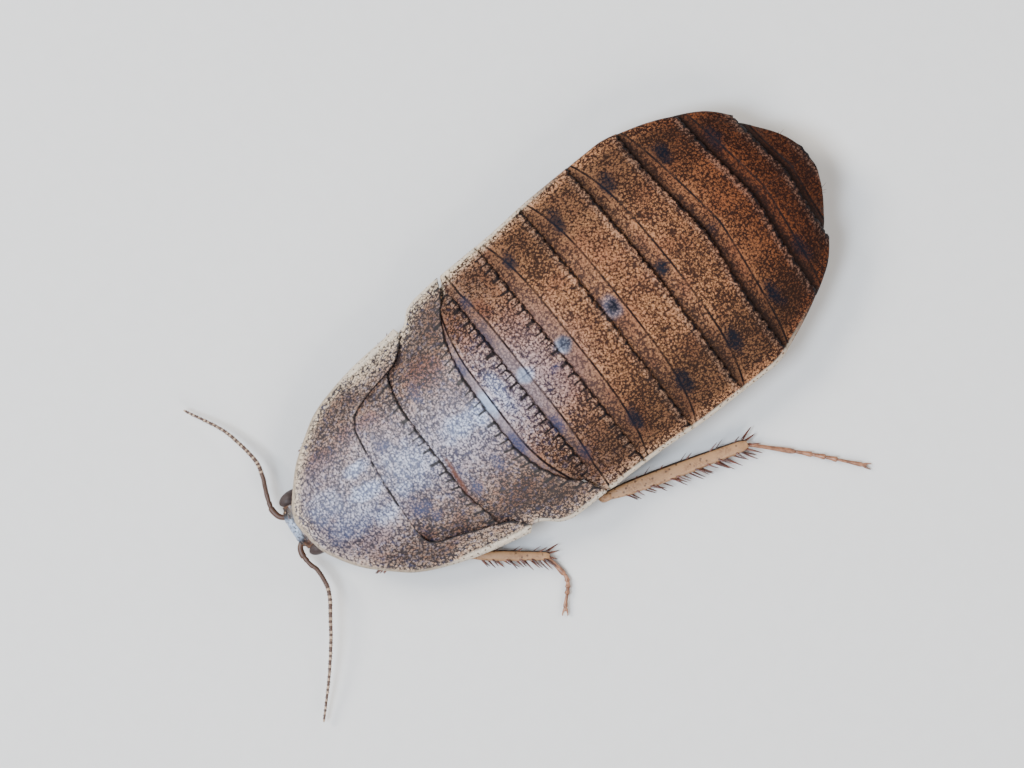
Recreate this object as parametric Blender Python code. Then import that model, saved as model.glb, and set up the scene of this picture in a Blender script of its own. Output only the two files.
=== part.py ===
"""Bark cockroach: a wingless adult female, life size, resting flat on its belly.

The body is described in millimetres by stations, the distance behind the front rim
of the pronotum. The length runs along Y with the head towards -Y, the animal's left
is +X and the floor is z = 0. The origin is the middle of the flat under the belly.
"""

import math

import bmesh
import bpy
from mathutils import Vector

# Driving sizes, in millimetres unless the name says otherwise
MM = 0.001
GAP = 0.3
ORIGIN_STATION = 19.0
MARGIN_THICKNESS = 0.5
SHIELD_THICKNESS = 0.6
PLATE_LIFT = 0.22
PLATE_SLANT = 0.35
PLATE_GAP = 0.36
SLOPING_PLATE_GAP = 0.44
DOME_POWER = 2.1
DOME_FLARE = 1.15
PLATE_COLUMNS = 16
PLATE_ROWS = 4
SHIELD_COLUMNS = 14
SHIELD_ROWS = 6
LIMB_SIDES = 8

# The front of the body is turned to the animal's right
TURN = math.radians(6.0)
TURN_PIVOT = 8.0
TURN_FULL = 7.0
TURN_END = 12.0

# Colours as linear red, green and blue
BROWN = (0.16, 0.085, 0.05)
REAR_BROWN = (0.2, 0.095, 0.045)
GREY_BROWN = (0.15, 0.1, 0.085)
BELLY_BROWN = (0.12, 0.05, 0.025)
LEG_TAN = (0.36, 0.2, 0.1)
SPINE_RED = (0.22, 0.06, 0.03)
EYE_BLACK = (0.01, 0.01, 0.014)
HEAD_BROWN = (0.05, 0.025, 0.016)


def curve_through(points):
    """Return a smooth function through (position, value) pairs that never overshoots."""
    places = [place for place, _ in points]
    values = [value for _, value in points]
    steps = [after - before for before, after in zip(places, places[1:])]
    slopes = [(after - before) / step for before, after, step in zip(values, values[1:], steps)]
    tangents = [slopes[0]]
    for before, after in zip(slopes, slopes[1:]):
        tangents.append(2 * before * after / (before + after) if before * after > 0 else 0.0)
    tangents.append(slopes[-1])

    def value_at(place):
        place = min(max(place, places[0]), places[-1])
        index = max(k for k in range(len(steps)) if places[k] <= place)
        step = steps[index]
        t = (place - places[index]) / step
        start = values[index] * (1 + 2 * t) * (1 - t) ** 2
        end = values[index + 1] * t * t * (3 - 2 * t)
        lean_out = tangents[index] * step * t * (1 - t) ** 2
        lean_in = tangents[index + 1] * step * t * t * (t - 1)
        return start + end + lean_out + lean_in

    return value_at


# Half the body's width, and the heights of its midline and of its margin, by station
half_width = curve_through([
    (0.22, 0.5), (0.45, 1.05), (0.88, 1.67), (1.76, 2.73), (2.64, 3.47), (3.52, 4.11),
    (4.4, 4.5), (6.15, 5.0), (8.8, 5.45), (10.6, 5.88), (14.9, 5.97), (17.6, 6.14),
    (21.1, 6.17), (22.9, 5.75), (24.2, 5.25), (25.8, 4.4), (26.8, 3.3), (27.3, 2.42),
])
crest_height = curve_through([
    (0.22, 2.55), (1.0, 3.0), (2.0, 3.4), (4.0, 3.98), (7.0, 4.5), (11.0, 4.9),
    (16.0, 5.0), (20.0, 4.85), (23.0, 4.4), (25.5, 3.7), (27.0, 3.0), (28.2, 2.3),
])
margin_height = curve_through([(0.22, 2.45), (2.0, 2.15), (5.0, 1.9), (24.0, 1.9), (28.2, 1.8)])

# Inner edge of a pronotum lobe and the pronotum's rear edge, tip to midline
SHIELD_REAR_EDGE = [
    (5.05, 8.86), (4.7, 8.55), (4.04, 7.7), (3.62, 6.3), (3.43, 5.47),
    (3.03, 4.86), (2.3, 4.68), (0.0, 4.62),
]
LOBE_TIP_STATION = 8.7
RIM_TIP_STATION = 0.18

# Each plate behind the pronotum: half width, front edge and rear edge. The edges are
# given by the share of the half width, from the midline out.
mesonotum_width = curve_through([(4.9, 2.72), (5.5, 3.08), (6.3, 3.28), (7.0, 3.5), (7.7, 3.7)])
mesonotum_front = curve_through([(0.0, 4.98), (0.8, 5.02), (1.0, 5.2)])
mesonotum_rear = curve_through([(0.0, 7.12), (0.5, 7.15), (1.0, 7.6)])
metanotum_front = curve_through([
    (0.0, 7.48), (0.35, 7.52), (0.66, 7.98), (0.72, 8.25), (0.82, 9.05), (0.9, 9.45), (1.0, 9.5),
])
metanotum_rear = curve_through([
    (0.0, 10.07), (0.3, 10.1), (0.5, 10.3), (0.75, 11.0), (0.87, 11.65), (1.0, 12.05),
])
TERGITE_1_SHARE = 0.8
tergite_1_rear = curve_through([(0.0, 11.91), (1.0, 12.0)])
tergite_2_front = curve_through([(0.0, 12.27), (0.78, 12.36), (0.87, 12.36), (1.0, 12.5)])
TERGITE_REAR_EDGES = {
    2: curve_through([(0.0, 14.15), (1.0, 14.2)]),
    3: curve_through([(0.0, 16.75), (1.0, 16.75)]),
    4: curve_through([(0.0, 19.56), (1.0, 19.5)]),
    5: curve_through([(0.0, 22.46), (0.73, 22.1), (1.0, 22.15)]),
    6: curve_through([(0.0, 25.14), (0.7, 24.8), (1.0, 24.75)]),
    7: curve_through([(0.0, 26.99), (0.7, 26.75), (1.0, 26.7)]),
}
tail_plate_width = curve_through([(27.2, 2.35), (27.6, 2.15), (27.95, 1.5), (28.2, 0.55)])
TAIL_END_STATION = 28.2

# Shares of a limb's half sizes along its length
COXA_PROFILE = [(0.0, 0.5), (0.12, 0.85), (0.5, 1.0), (0.85, 0.8), (1.0, 0.5)]
FEMUR_PROFILE = [(0.0, 0.55), (0.12, 0.8), (0.45, 1.0), (0.8, 0.88), (0.95, 0.8), (1.0, 0.6)]
TIBIA_PROFILE = [(0.0, 0.7), (0.05, 0.92), (0.2, 0.95), (0.55, 0.95), (0.93, 1.1), (1.0, 0.9)]
TARSUS_PROFILE = [
    (0.0, 0.8), (0.04, 1.0), (0.4, 1.0), (0.43, 0.85), (0.46, 1.0), (0.58, 1.0),
    (0.61, 0.85), (0.64, 1.0), (0.74, 1.0), (0.77, 0.85), (0.8, 1.0), (0.97, 1.0), (1.0, 0.8),
]

# Legs: each joint as (across, station, height), the half sizes as (across, deep).
# The left hind and middle legs show beside the body, the others are drawn in under it.
LEGS = {
    "hind_left": {
        "turned": False,
        "coxa": ([(2.6, 9.5, 0.62), (1.95, 12.55, 0.6)], (0.85, 0.42)),
        "femur": ([(2.2, 13.5, 0.55), (5.75, 12.0, 0.6)], (0.5, 0.42)),
        "tibia": ([(6.42, 11.9, 0.62), (8.26, 18.1, 0.42)], (0.3, 0.3)),
        "tarsus": [(8.36, 18.5, 0.27), (10.4, 20.15, 0.27), (12.35, 21.8, 0.27)],
        "spines": 9,
        "spine_scale": 1.0,
    },
    "hind_right": {
        "turned": False,
        "coxa": ([(-2.6, 9.5, 0.62), (-1.95, 12.55, 0.6)], (0.85, 0.42)),
        "femur": ([(-2.25, 13.5, 0.55), (-4.66, 11.7, 0.6)], (0.5, 0.42)),
        "tibia": ([(-5.35, 11.35, 0.6), (-5.28, 17.7, 0.42)], (0.3, 0.3)),
        "tarsus": [(-5.26, 18.1, 0.27), (-5.15, 20.6, 0.27), (-4.9, 23.2, 0.27)],
        "spines": 9,
        "spine_scale": 0.8,
    },
    "middle_left": {
        "turned": False,
        "coxa": ([(2.15, 6.75, 0.62), (1.5, 8.2, 0.6)], (0.6, 0.4)),
        "femur": ([(2.25, 9.0, 0.5), (4.1, 6.05, 0.55)], (0.4, 0.36)),
        "tibia": ([(4.67, 5.68, 0.58), (6.65, 8.1, 0.4)], (0.27, 0.27)),
        "tarsus": [(6.95, 8.5, 0.27), (7.95, 8.3, 0.27), (9.0, 7.35, 0.27)],
        "spines": 5,
        "spine_scale": 0.8,
    },
    "middle_right": {
        "turned": False,
        "coxa": ([(-2.15, 6.75, 0.62), (-1.5, 8.2, 0.6)], (0.6, 0.4)),
        "femur": ([(-2.35, 9.03, 0.5), (-3.87, 6.15, 0.55)], (0.4, 0.36)),
        "tibia": ([(-4.5, 5.7, 0.58), (-4.9, 8.5, 0.4)], (0.27, 0.27)),
        "tarsus": [(-4.95, 8.86, 0.27), (-5.0, 9.6, 0.27), (-5.05, 10.45, 0.27)],
        "spines": 5,
        "spine_scale": 0.8,
    },
    "fore_left": {
        "turned": True,
        "coxa": ([(2.1, 3.4, 0.52), (1.3, 4.6, 0.5)], (0.5, 0.3)),
        "femur": ([(1.9, 5.3, 0.5), (3.2, 3.95, 0.52)], (0.36, 0.33)),
        "tibia": ([(3.82, 3.95, 0.52), (3.3, 2.45, 0.42)], (0.27, 0.27)),
        "tarsus": [(3.12, 2.0, 0.27), (2.85, 1.75, 0.27), (2.55, 1.6, 0.27)],
        "spines": 3,
        "spine_scale": 0.6,
    },
    "fore_right": {
        "turned": True,
        "coxa": ([(-2.1, 3.4, 0.52), (-1.3, 4.6, 0.5)], (0.5, 0.3)),
        "femur": ([(-1.9, 5.3, 0.5), (-3.2, 3.95, 0.52)], (0.36, 0.33)),
        "tibia": ([(-3.82, 3.95, 0.52), (-3.3, 2.45, 0.42)], (0.27, 0.27)),
        "tarsus": [(-3.12, 2.0, 0.27), (-2.85, 1.75, 0.27), (-2.55, 1.6, 0.27)],
        "spines": 3,
        "spine_scale": 0.6,
    },
}
TARSUS_HALF_WIDTH = 0.27
SPINE_ROOT_RADIUS = 0.22
SPINE_TIP_RADIUS = 0.05
SPINE_LENGTHS = (1.0, 0.75, 1.2, 0.85)
SPINE_SIDES = 5
SPUR_LENGTH = 0.8
SPUR_ROOT_BACK = 0.42
CLAW_LENGTH = 0.45
CLAW_ROOT_RADIUS = 0.12

# Antennae: routes from the head's face, already in the turned position
ANTENNA_ROUTES = {
    "left": {
        "base": [(-0.2, -0.48, 1.05), (0.45, -0.5, 1.05)],
        "flagellum": [
            (0.8, -0.42, 1.05), (1.6, -0.15, 1.1), (3.1, -1.15, 1.1), (4.6, -2.4, 0.85), (6.3, -4.1, 0.45),
        ],
    },
    "right": {
        "base": [(-2.45, -0.25, 1.05), (-3.05, -0.15, 1.05)],
        "flagellum": [
            (-3.4, 0.05, 1.05), (-3.85, 0.45, 1.1), (-4.6, 0.75, 1.1), (-6.1, 0.55, 0.85), (-8.4, -0.4, 0.45),
        ],
    },
}
ANTENNA_RADIUS = 0.25
ANTENNA_POINTS = 15


def place(across, station, height, turned=True):
    """Return a point in metres from millimetres across, behind the front rim and up."""
    if turned:
        share = min(max((TURN_END - station) / (TURN_END - TURN_FULL), 0.0), 1.0)
        angle = TURN * share * share * (3 - 2 * share)
        behind = station - TURN_PIVOT
        across, station = (
            across * math.cos(angle) + behind * math.sin(angle),
            behind * math.cos(angle) - across * math.sin(angle) + TURN_PIVOT,
        )
    return Vector((across, station - ORIGIN_STATION, height)) * MM


def dome_height(across, station):
    """Return the height of the smooth back above a point of the plan."""
    share = min(abs(across) / half_width(station), 1.0)
    arch = (1 - share ** DOME_POWER) ** DOME_FLARE
    margin = margin_height(station)
    return margin + (crest_height(station) - margin) * arch


def make_material(name, colour, roughness):
    """Return a plain surface of one colour."""
    material = bpy.data.materials.new(name)
    material.use_nodes = True
    shader = material.node_tree.nodes["Principled BSDF"]
    shader.inputs["Base Color"].default_value = (*colour, 1.0)
    shader.inputs["Roughness"].default_value = roughness
    shader.inputs["Metallic"].default_value = 0.0
    return material


def add_object(name, mesh, colour, roughness=0.5):
    """Put a mesh in the animal's collection under its node's name."""
    mesh.shade_smooth()
    mesh.set_sharp_from_angle(angle=math.radians(40))
    mesh.materials.clear()
    mesh.materials.append(make_material(name + "_surface", colour, roughness))
    part = bpy.data.objects.new(name, mesh)
    animal.objects.link(part)
    return part


def mesh_from(bm, name):
    """Turn a bmesh into a mesh with its faces outward."""
    bmesh.ops.recalc_face_normals(bm, faces=bm.faces)
    mesh = bpy.data.meshes.new(name)
    bm.to_mesh(mesh)
    bm.free()
    return mesh


def grid_surface(rows):
    """Return a bmesh with one open sheet of faces through rows of points."""
    bm = bmesh.new()
    lines = [[bm.verts.new(point) for point in row] for row in rows]
    for near, far in zip(lines, lines[1:]):
        for column in range(len(near) - 1):
            bm.faces.new((near[column], near[column + 1], far[column + 1], far[column]))
    return bm


def loft(rings):
    """Return a bmesh that joins rings of points into one closed body with flat ends."""
    bm = bmesh.new()
    loops = [[bm.verts.new(point) for point in ring] for ring in rings]
    count = len(loops[0])
    for near, far in zip(loops, loops[1:]):
        for index in range(count):
            after = (index + 1) % count
            bm.faces.new((near[index], near[after], far[after], far[index]))
    bm.faces.new(loops[0])
    bm.faces.new(loops[-1])
    return bm


def largest_body(mesh):
    """Keep only the largest closed surface of a mesh."""
    bm = bmesh.new()
    bm.from_mesh(mesh)
    groups = []
    unseen = set(bm.verts)
    while unseen:
        front = [unseen.pop()]
        group = set(front)
        while front:
            for edge in front.pop().link_edges:
                for corner in edge.verts:
                    if corner in unseen:
                        unseen.discard(corner)
                        group.add(corner)
                        front.append(corner)
        groups.append(group)
    groups.sort(key=len)
    scraps = [corner for group in groups[:-1] for corner in group]
    bmesh.ops.delete(bm, geom=scraps, context="VERTS")
    bm.to_mesh(mesh)
    bm.free()
    return mesh


def combine(base_mesh, piece_meshes, operation):
    """Join piece meshes to a base mesh, or cut them from it, and return the new mesh."""
    pieces = bpy.data.collections.new("joined_pieces")
    bpy.context.scene.collection.children.link(pieces)
    for piece_mesh in piece_meshes:
        piece = bpy.data.objects.new("piece", piece_mesh)
        piece.hide_render = True
        piece.display_type = "WIRE"
        pieces.objects.link(piece)
    base = bpy.data.objects.new("base", base_mesh)
    base.hide_render = True
    base.display_type = "WIRE"
    bpy.context.scene.collection.objects.link(base)
    boolean = base.modifiers.new("combine", "BOOLEAN")
    boolean.operation = operation
    boolean.operand_type = "COLLECTION"
    boolean.collection = pieces
    boolean.solver = "EXACT"
    bpy.context.view_layer.update()
    evaluated = base.evaluated_get(bpy.context.evaluated_depsgraph_get())
    mesh = bpy.data.meshes.new_from_object(evaluated)
    for piece in list(pieces.objects) + [base]:
        bpy.data.objects.remove(piece)
    bpy.data.collections.remove(pieces)
    return largest_body(mesh)


def resample(points, count):
    """Return evenly spaced points on a smooth line through a few points."""
    lengths = [0.0]
    for start, end in zip(points, points[1:]):
        lengths.append(lengths[-1] + math.dist(start, end))
    axes = [curve_through(list(zip(lengths, axis))) for axis in zip(*points)]
    return [tuple(axis(lengths[-1] * k / count) for axis in axes) for k in range(count + 1)]


def add_pronotum():
    """Build the shield over the head as a thin hood with two rear lobes."""
    span = LOBE_TIP_STATION - 0.22
    rim = [
        (half_width(station), station)
        for station in (0.22 + span * (1 - k / 40) ** 2 for k in range(40))
    ]
    rim.append((0.0, RIM_TIP_STATION))
    rim = resample(rim, SHIELD_COLUMNS)
    inner = resample(SHIELD_REAR_EDGE, SHIELD_COLUMNS)
    rows = []
    for row in range(SHIELD_ROWS + 1):
        share = row / SHIELD_ROWS
        half = []
        for (rim_x, rim_s), (inner_x, inner_s) in zip(rim, inner):
            across = rim_x + (inner_x - rim_x) * share
            station = rim_s + (inner_s - rim_s) * share
            half.append((across, station, dome_height(across, station) + PLATE_LIFT * share ** 2))
        line = half + [(-across, station, height) for across, station, height in reversed(half[:-1])]
        rows.append([place(*point) for point in line])
    bm = grid_surface(rows)
    lower = bmesh.ops.extrude_face_region(bm, geom=list(bm.faces))
    for item in lower["geom"]:
        if isinstance(item, bmesh.types.BMVert):
            item.co.z -= SHIELD_THICKNESS * MM
    add_object("pronotum", mesh_from(bm, "pronotum"), GREY_BROWN)


def add_plate(name, width, front, rear, colour):
    """Build one back plate: its domed top, raised at the rear, over a flat underside."""
    rows = []
    for row in range(PLATE_ROWS + 1):
        share = row / PLATE_ROWS
        line = []
        for column in range(PLATE_COLUMNS + 1):
            side = 2 * column / PLATE_COLUMNS - 1
            station = front(abs(side)) * (1 - share) + rear(abs(side)) * share
            across = side * width(station)
            height = dome_height(across, station) + PLATE_LIFT * share ** 2
            line.append(place(across, station, height))
        rows.append(line)
    bm = grid_surface(rows)
    underside = margin_height(rear(0.0)) - MARGIN_THICKNESS
    lower = bmesh.ops.extrude_face_region(bm, geom=list(bm.faces))
    for item in lower["geom"]:
        if isinstance(item, bmesh.types.BMVert):
            item.co.z = underside * MM
            item.co.y -= PLATE_SLANT * MM
    add_object(name, mesh_from(bm, name), colour)


def add_plates():
    """Build the plates of the thorax and of the abdomen, front to rear."""
    add_plate("mesonotum", mesonotum_width, mesonotum_front, mesonotum_rear, GREY_BROWN)
    add_plate("metanotum", half_width, metanotum_front, metanotum_rear, GREY_BROWN)
    add_plate(
        "tergite_1",
        lambda station: half_width(station) * TERGITE_1_SHARE,
        lambda share: metanotum_rear(share * TERGITE_1_SHARE) + SLOPING_PLATE_GAP,
        tergite_1_rear,
        BROWN,
    )
    front = tergite_2_front
    for number, rear in TERGITE_REAR_EDGES.items():
        add_plate(f"tergite_{number}", half_width, front, rear, BROWN if number < 5 else REAR_BROWN)
        front = (lambda edge: lambda share: edge(share) + PLATE_GAP)(rear)
    add_plate("tergite_10", tail_plate_width, front, lambda share: TAIL_END_STATION, REAR_BROWN)


# One half of the outline of a trunk section, by shares of its half width and height
TRUNK_HALF_SECTION = [(0.55, 1.0), (0.95, 0.62), (1.0, 0.45), (0.85, 0.16), (0.6, 0.0)]

# Trunk sections: station, half width, lowest and highest height
THORAX_SECTIONS = [
    (3.15, 0.7, 1.5, 2.2), (3.3, 1.3, 1.25, 2.5), (3.7, 1.9, 1.15, 2.75), (4.25, 2.0, 1.15, 2.9),
    (4.3, 0.5, 0.5, 1.05), (5.2, 0.5, 0.35, 1.05), (8.0, 0.5, 0.35, 1.05), (9.3, 0.9, 0.3, 1.05),
    (11.0, 0.75, 0.3, 1.05), (12.6, 0.6, 0.35, 1.05),
]
ABDOMEN_SECTIONS = [
    (14.45, 2.2, 0.6, 1.05), (15.2, 3.5, 0.2, 1.08), (16.2, 4.1, 0.0, 1.08), (19.0, 4.3, 0.0, 1.08),
    (21.8, 4.1, 0.0, 1.08), (23.6, 3.5, 0.12, 1.08), (25.2, 2.7, 0.35, 1.05), (26.2, 1.8, 0.6, 1.0),
]
HEAD_SECTIONS = [
    (-0.15, 0.4, 1.05, 1.3), (0.05, 0.95, 0.8, 1.42), (0.5, 1.4, 0.6, 1.55), (1.1, 1.5, 0.55, 1.75),
    (1.9, 1.3, 0.5, 1.95), (2.5, 0.95, 0.55, 1.9), (2.8, 0.6, 0.8, 1.55),
]
HEAD_SIDES = 14
HEAD_SHIFT = -0.35
EYE_CENTRE = (1.3, 0.68, 1.1)
EYE_SIZES = (0.36, 0.45, 0.38)
EYE_COLUMNS = 12
EYE_RINGS = 8


def trunk_ring(station, half, low, high):
    """Return one closed section of the trunk, flat above and below."""
    right = [(half * share, low + (high - low) * up) for share, up in TRUNK_HALF_SECTION]
    outline = right + [(-across, height) for across, height in reversed(right)]
    return [place(across, station, height) for across, height in outline]


def add_underside():
    """Build the chest between the legs and the belly that the animal rests on."""
    thorax = loft([trunk_ring(*section) for section in THORAX_SECTIONS])
    add_object("thorax_underside", mesh_from(thorax, "thorax_underside"), BELLY_BROWN)
    abdomen = loft([trunk_ring(*section) for section in ABDOMEN_SECTIONS])
    add_object("abdomen_underside", mesh_from(abdomen, "abdomen_underside"), BELLY_BROWN)


def eye_mesh(side, grow):
    """Return one eye, or the hollow it sits in when grown."""
    bm = bmesh.new()
    bmesh.ops.create_uvsphere(bm, u_segments=EYE_COLUMNS, v_segments=EYE_RINGS, radius=1.0)
    for corner in bm.verts:
        sizes = [size + grow for size in EYE_SIZES]
        offset = [value * size for value, size in zip(corner.co, sizes)]
        across = EYE_CENTRE[0] * side + HEAD_SHIFT + offset[0]
        corner.co = place(across, EYE_CENTRE[1] + offset[1], EYE_CENTRE[2] + offset[2])
    return mesh_from(bm, "eye")


def add_head():
    """Build the head under the shield, with a hollow at each side for the eye."""
    rings = []
    for station, half, low, high in HEAD_SECTIONS:
        ring = []
        for index in range(HEAD_SIDES):
            angle = 2 * math.pi * index / HEAD_SIDES
            across = half * math.cos(angle) + HEAD_SHIFT
            height = (low + high) / 2 + (high - low) / 2 * math.sin(angle)
            ring.append(place(across, station, height))
        rings.append(ring)
    hollows = [eye_mesh(side, GAP) for side in (1, -1)]
    head = combine(mesh_from(loft(rings), "head"), hollows, "DIFFERENCE")
    add_object("head", head, HEAD_BROWN, 0.3)
    for side, label in ((1, "left"), (-1, "right")):
        add_object(f"eye_{label}", eye_mesh(side, 0.0), EYE_BLACK, 0.15)


def limb_rings(points, profile, sizes, turned):
    """Return rings of points round a limb that follows a route, flat side down."""
    lengths = [0.0]
    for start, end in zip(points, points[1:]):
        lengths.append(lengths[-1] + math.dist(start, end))
    axes = [curve_through(list(zip(lengths, axis))) for axis in zip(*points)]
    rings = []
    for share, scale in profile:
        here = Vector([axis(lengths[-1] * share) for axis in axes])
        before = Vector([axis(lengths[-1] * max(share - 0.02, 0.0)) for axis in axes])
        after = Vector([axis(lengths[-1] * min(share + 0.02, 1.0)) for axis in axes])
        along = (after - before).normalized()
        across = along.cross(Vector((0, 0, 1))).normalized()
        up = across.cross(along)
        ring = []
        for index in range(LIMB_SIDES):
            angle = 2 * math.pi * (index + 0.5) / LIMB_SIDES
            offset = across * math.cos(angle) * sizes[0] + up * math.sin(angle) * sizes[1]
            ring.append(place(*(here + offset * scale), turned=turned))
        rings.append(ring)
    return rings


def spike_mesh(root, direction, length, root_radius, turned):
    """Return one tapered spike from its root, in millimetres, along a direction."""
    bm = bmesh.new()
    turn = Vector((0, 0, 1)).rotation_difference(direction).to_matrix().to_4x4()
    bmesh.ops.create_cone(
        bm, cap_ends=True, segments=SPINE_SIDES, radius1=root_radius, radius2=SPINE_TIP_RADIUS,
        depth=length, matrix=turn,
    )
    middle = root + direction * length / 2
    for corner in bm.verts:
        corner.co = place(*(corner.co + middle), turned=turned)
    return mesh_from(bm, "spike")


def tibia_spikes(start, end, count, scale, outward, turned):
    """Return the spines in two rows along a tibia and the spurs at its end."""
    start = Vector(start)
    end = Vector(end)
    along = (end - start).normalized()
    side = along.cross(Vector((0, 0, 1))).normalized() * outward
    spikes = []
    for index in range(count):
        share = 0.12 + 0.74 * index / (count - 1)
        lean = side + Vector((0, 0, 0.35 if index % 2 else -0.15))
        direction = (along * 1.1 + lean).normalized()
        root = start.lerp(end, share) + side * 0.08
        length = SPINE_LENGTHS[index % len(SPINE_LENGTHS)] * scale
        spikes.append(spike_mesh(root, direction, length, SPINE_ROOT_RADIUS, turned))
    for turn_out in (1.0, -1.0):
        direction = (along * 0.8 + side * turn_out).normalized()
        root = end - along * SPUR_ROOT_BACK + side * 0.06 * turn_out
        spikes.append(spike_mesh(root, direction, SPUR_LENGTH * scale, SPINE_ROOT_RADIUS, turned))
    return spikes


def add_leg(leg_name, leg):
    """Build the four parts of one leg."""
    turned = leg["turned"]
    outward = 1 if leg_name.endswith("left") else -1
    for part_name, profile in (("coxa", COXA_PROFILE), ("femur", FEMUR_PROFILE)):
        points, sizes = leg[part_name]
        name = f"{part_name}_{leg_name}"
        rings = limb_rings(points, profile, sizes, turned)
        add_object(name, mesh_from(loft(rings), name), LEG_TAN)
    points, sizes = leg["tibia"]
    shaft = mesh_from(loft(limb_rings(points, TIBIA_PROFILE, sizes, turned)), "shaft")
    # Seen from above the cross product points to the right of the route
    along_y = 1 if points[1][1] > points[0][1] else -1
    spikes = tibia_spikes(*points, leg["spines"], leg["spine_scale"], outward * along_y, turned)
    add_object(f"tibia_{leg_name}", combine(shaft, spikes, "UNION"), LEG_TAN)
    route = leg["tarsus"]
    radius = TARSUS_HALF_WIDTH / math.cos(math.pi / LIMB_SIDES)
    rings = limb_rings(route, TARSUS_PROFILE, (radius, radius), turned)
    foot = mesh_from(loft(rings), "foot")
    tip = Vector(route[-1])
    along = (tip - Vector(route[-2])).normalized()
    side = along.cross(Vector((0, 0, 1))).normalized()
    claws = [
        spike_mesh(tip - along * 0.12 + side * 0.08 * turn_out, (along + side * turn_out * 0.5).normalized(),
                   CLAW_LENGTH, CLAW_ROOT_RADIUS, turned)
        for turn_out in (1, -1)
    ]
    add_object(f"tarsus_{leg_name}", combine(foot, claws, "UNION"), SPINE_RED)


def tube_mesh(points, radii, turned):
    """Return a round closed tube through points, each with its own radius."""
    line = bpy.data.curves.new("tube", "CURVE")
    line.dimensions = "3D"
    line.bevel_depth = MM
    line.bevel_resolution = 2
    line.render_resolution_u = 0
    line.use_fill_caps = True
    spline = line.splines.new("POLY")
    spline.points.add(len(points) - 1)
    for target, point, radius in zip(spline.points, points, radii):
        target.co = (*place(*point, turned=turned), 1.0)
        target.radius = radius
    holder = bpy.data.objects.new("tube", line)
    bpy.context.scene.collection.objects.link(holder)
    bpy.context.view_layer.update()
    evaluated = holder.evaluated_get(bpy.context.evaluated_depsgraph_get())
    mesh = bpy.data.meshes.new_from_object(evaluated)
    bpy.data.objects.remove(holder)
    bpy.data.curves.remove(line)
    bm = bmesh.new()
    bm.from_mesh(mesh)
    bmesh.ops.remove_doubles(bm, verts=bm.verts, dist=0.01 * MM)
    return mesh_from(bm, "tube")


def add_feelers():
    """Build the antennae and the palps."""
    for side, routes in ANTENNA_ROUTES.items():
        base = resample(routes["base"], 4)
        mesh = tube_mesh(base, [ANTENNA_RADIUS * 1.1] * 5, False)
        add_object(f"antenna_base_{side}", mesh, SPINE_RED)
        route = resample(routes["flagellum"], ANTENNA_POINTS)
        radii = [ANTENNA_RADIUS * (1 - 0.5 * (k / ANTENNA_POINTS) ** 3) for k in range(ANTENNA_POINTS + 1)]
        add_object(f"antenna_{side}", tube_mesh(route, radii, False), SPINE_RED)
    for side, label in ((1, "left"), (-1, "right")):
        route = [(1.0, 2.35, 0.28), (1.15, 1.9, 0.26), (1.2, 1.4, 0.26)]
        route = [(across * side + HEAD_SHIFT, station, height) for across, station, height in route]
        mesh = tube_mesh(resample(route, 5), [0.24, 0.24, 0.24, 0.25, 0.25, 0.18], True)
        add_object(f"palp_{label}", mesh, LEG_TAN)


def add_cerci():
    """Build the two short tail feelers under the last plate."""
    for side, label in ((1, "left"), (-1, "right")):
        points = [(side * 1.15, 26.55, 0.66), (side * 1.5, 27.75, 0.7)]
        profile = [(0.0, 0.8), (0.15, 1.0), (0.6, 0.95), (0.9, 0.65), (1.0, 0.3)]
        rings = limb_rings(points, profile, (0.27, 0.26), False)
        add_object(f"cercus_{label}", mesh_from(loft(rings), "cercus"), BROWN)


for old in list(bpy.data.objects):
    bpy.data.objects.remove(old)
animal = bpy.data.collections.new("bark_cockroach")
bpy.context.scene.collection.children.link(animal)

add_pronotum()
add_plates()
add_underside()
add_head()
for leg_label, leg_sizes in LEGS.items():
    add_leg(leg_label, leg_sizes)
add_feelers()
add_cerci()
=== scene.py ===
import math

import bpy
import numpy as np
from mathutils import Matrix, Vector


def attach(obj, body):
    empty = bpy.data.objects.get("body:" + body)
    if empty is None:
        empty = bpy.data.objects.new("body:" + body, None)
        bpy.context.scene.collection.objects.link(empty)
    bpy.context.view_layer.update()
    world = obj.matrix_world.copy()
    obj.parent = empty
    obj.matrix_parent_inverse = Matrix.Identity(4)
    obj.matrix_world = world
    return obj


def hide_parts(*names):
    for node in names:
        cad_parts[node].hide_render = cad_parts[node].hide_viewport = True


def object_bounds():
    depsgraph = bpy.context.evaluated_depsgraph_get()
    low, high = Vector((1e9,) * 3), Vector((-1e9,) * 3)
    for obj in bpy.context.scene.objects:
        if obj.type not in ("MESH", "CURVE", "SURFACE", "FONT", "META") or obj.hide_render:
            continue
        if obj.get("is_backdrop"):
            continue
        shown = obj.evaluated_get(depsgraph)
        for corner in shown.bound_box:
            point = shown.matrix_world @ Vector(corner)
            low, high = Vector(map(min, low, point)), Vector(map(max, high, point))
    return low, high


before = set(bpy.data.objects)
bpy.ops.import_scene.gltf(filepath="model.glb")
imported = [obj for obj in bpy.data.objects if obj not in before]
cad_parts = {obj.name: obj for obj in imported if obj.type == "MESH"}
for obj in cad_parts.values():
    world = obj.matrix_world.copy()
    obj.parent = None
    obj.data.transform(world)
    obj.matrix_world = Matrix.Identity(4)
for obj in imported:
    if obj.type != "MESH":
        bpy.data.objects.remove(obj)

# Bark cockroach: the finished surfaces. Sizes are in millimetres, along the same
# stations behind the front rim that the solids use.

CAD_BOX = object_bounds()
MM = 0.001
# The station over the frame's origin
ORIGIN_STATION = 19.0
# The front of the body is turned to its right round a pivot: fully before one station,
# and not at all behind the other
TURN = math.radians(6.0)
TURN_PIVOT = 8.0
TURN_FULL = 7.0
TURN_END = 12.0
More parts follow.
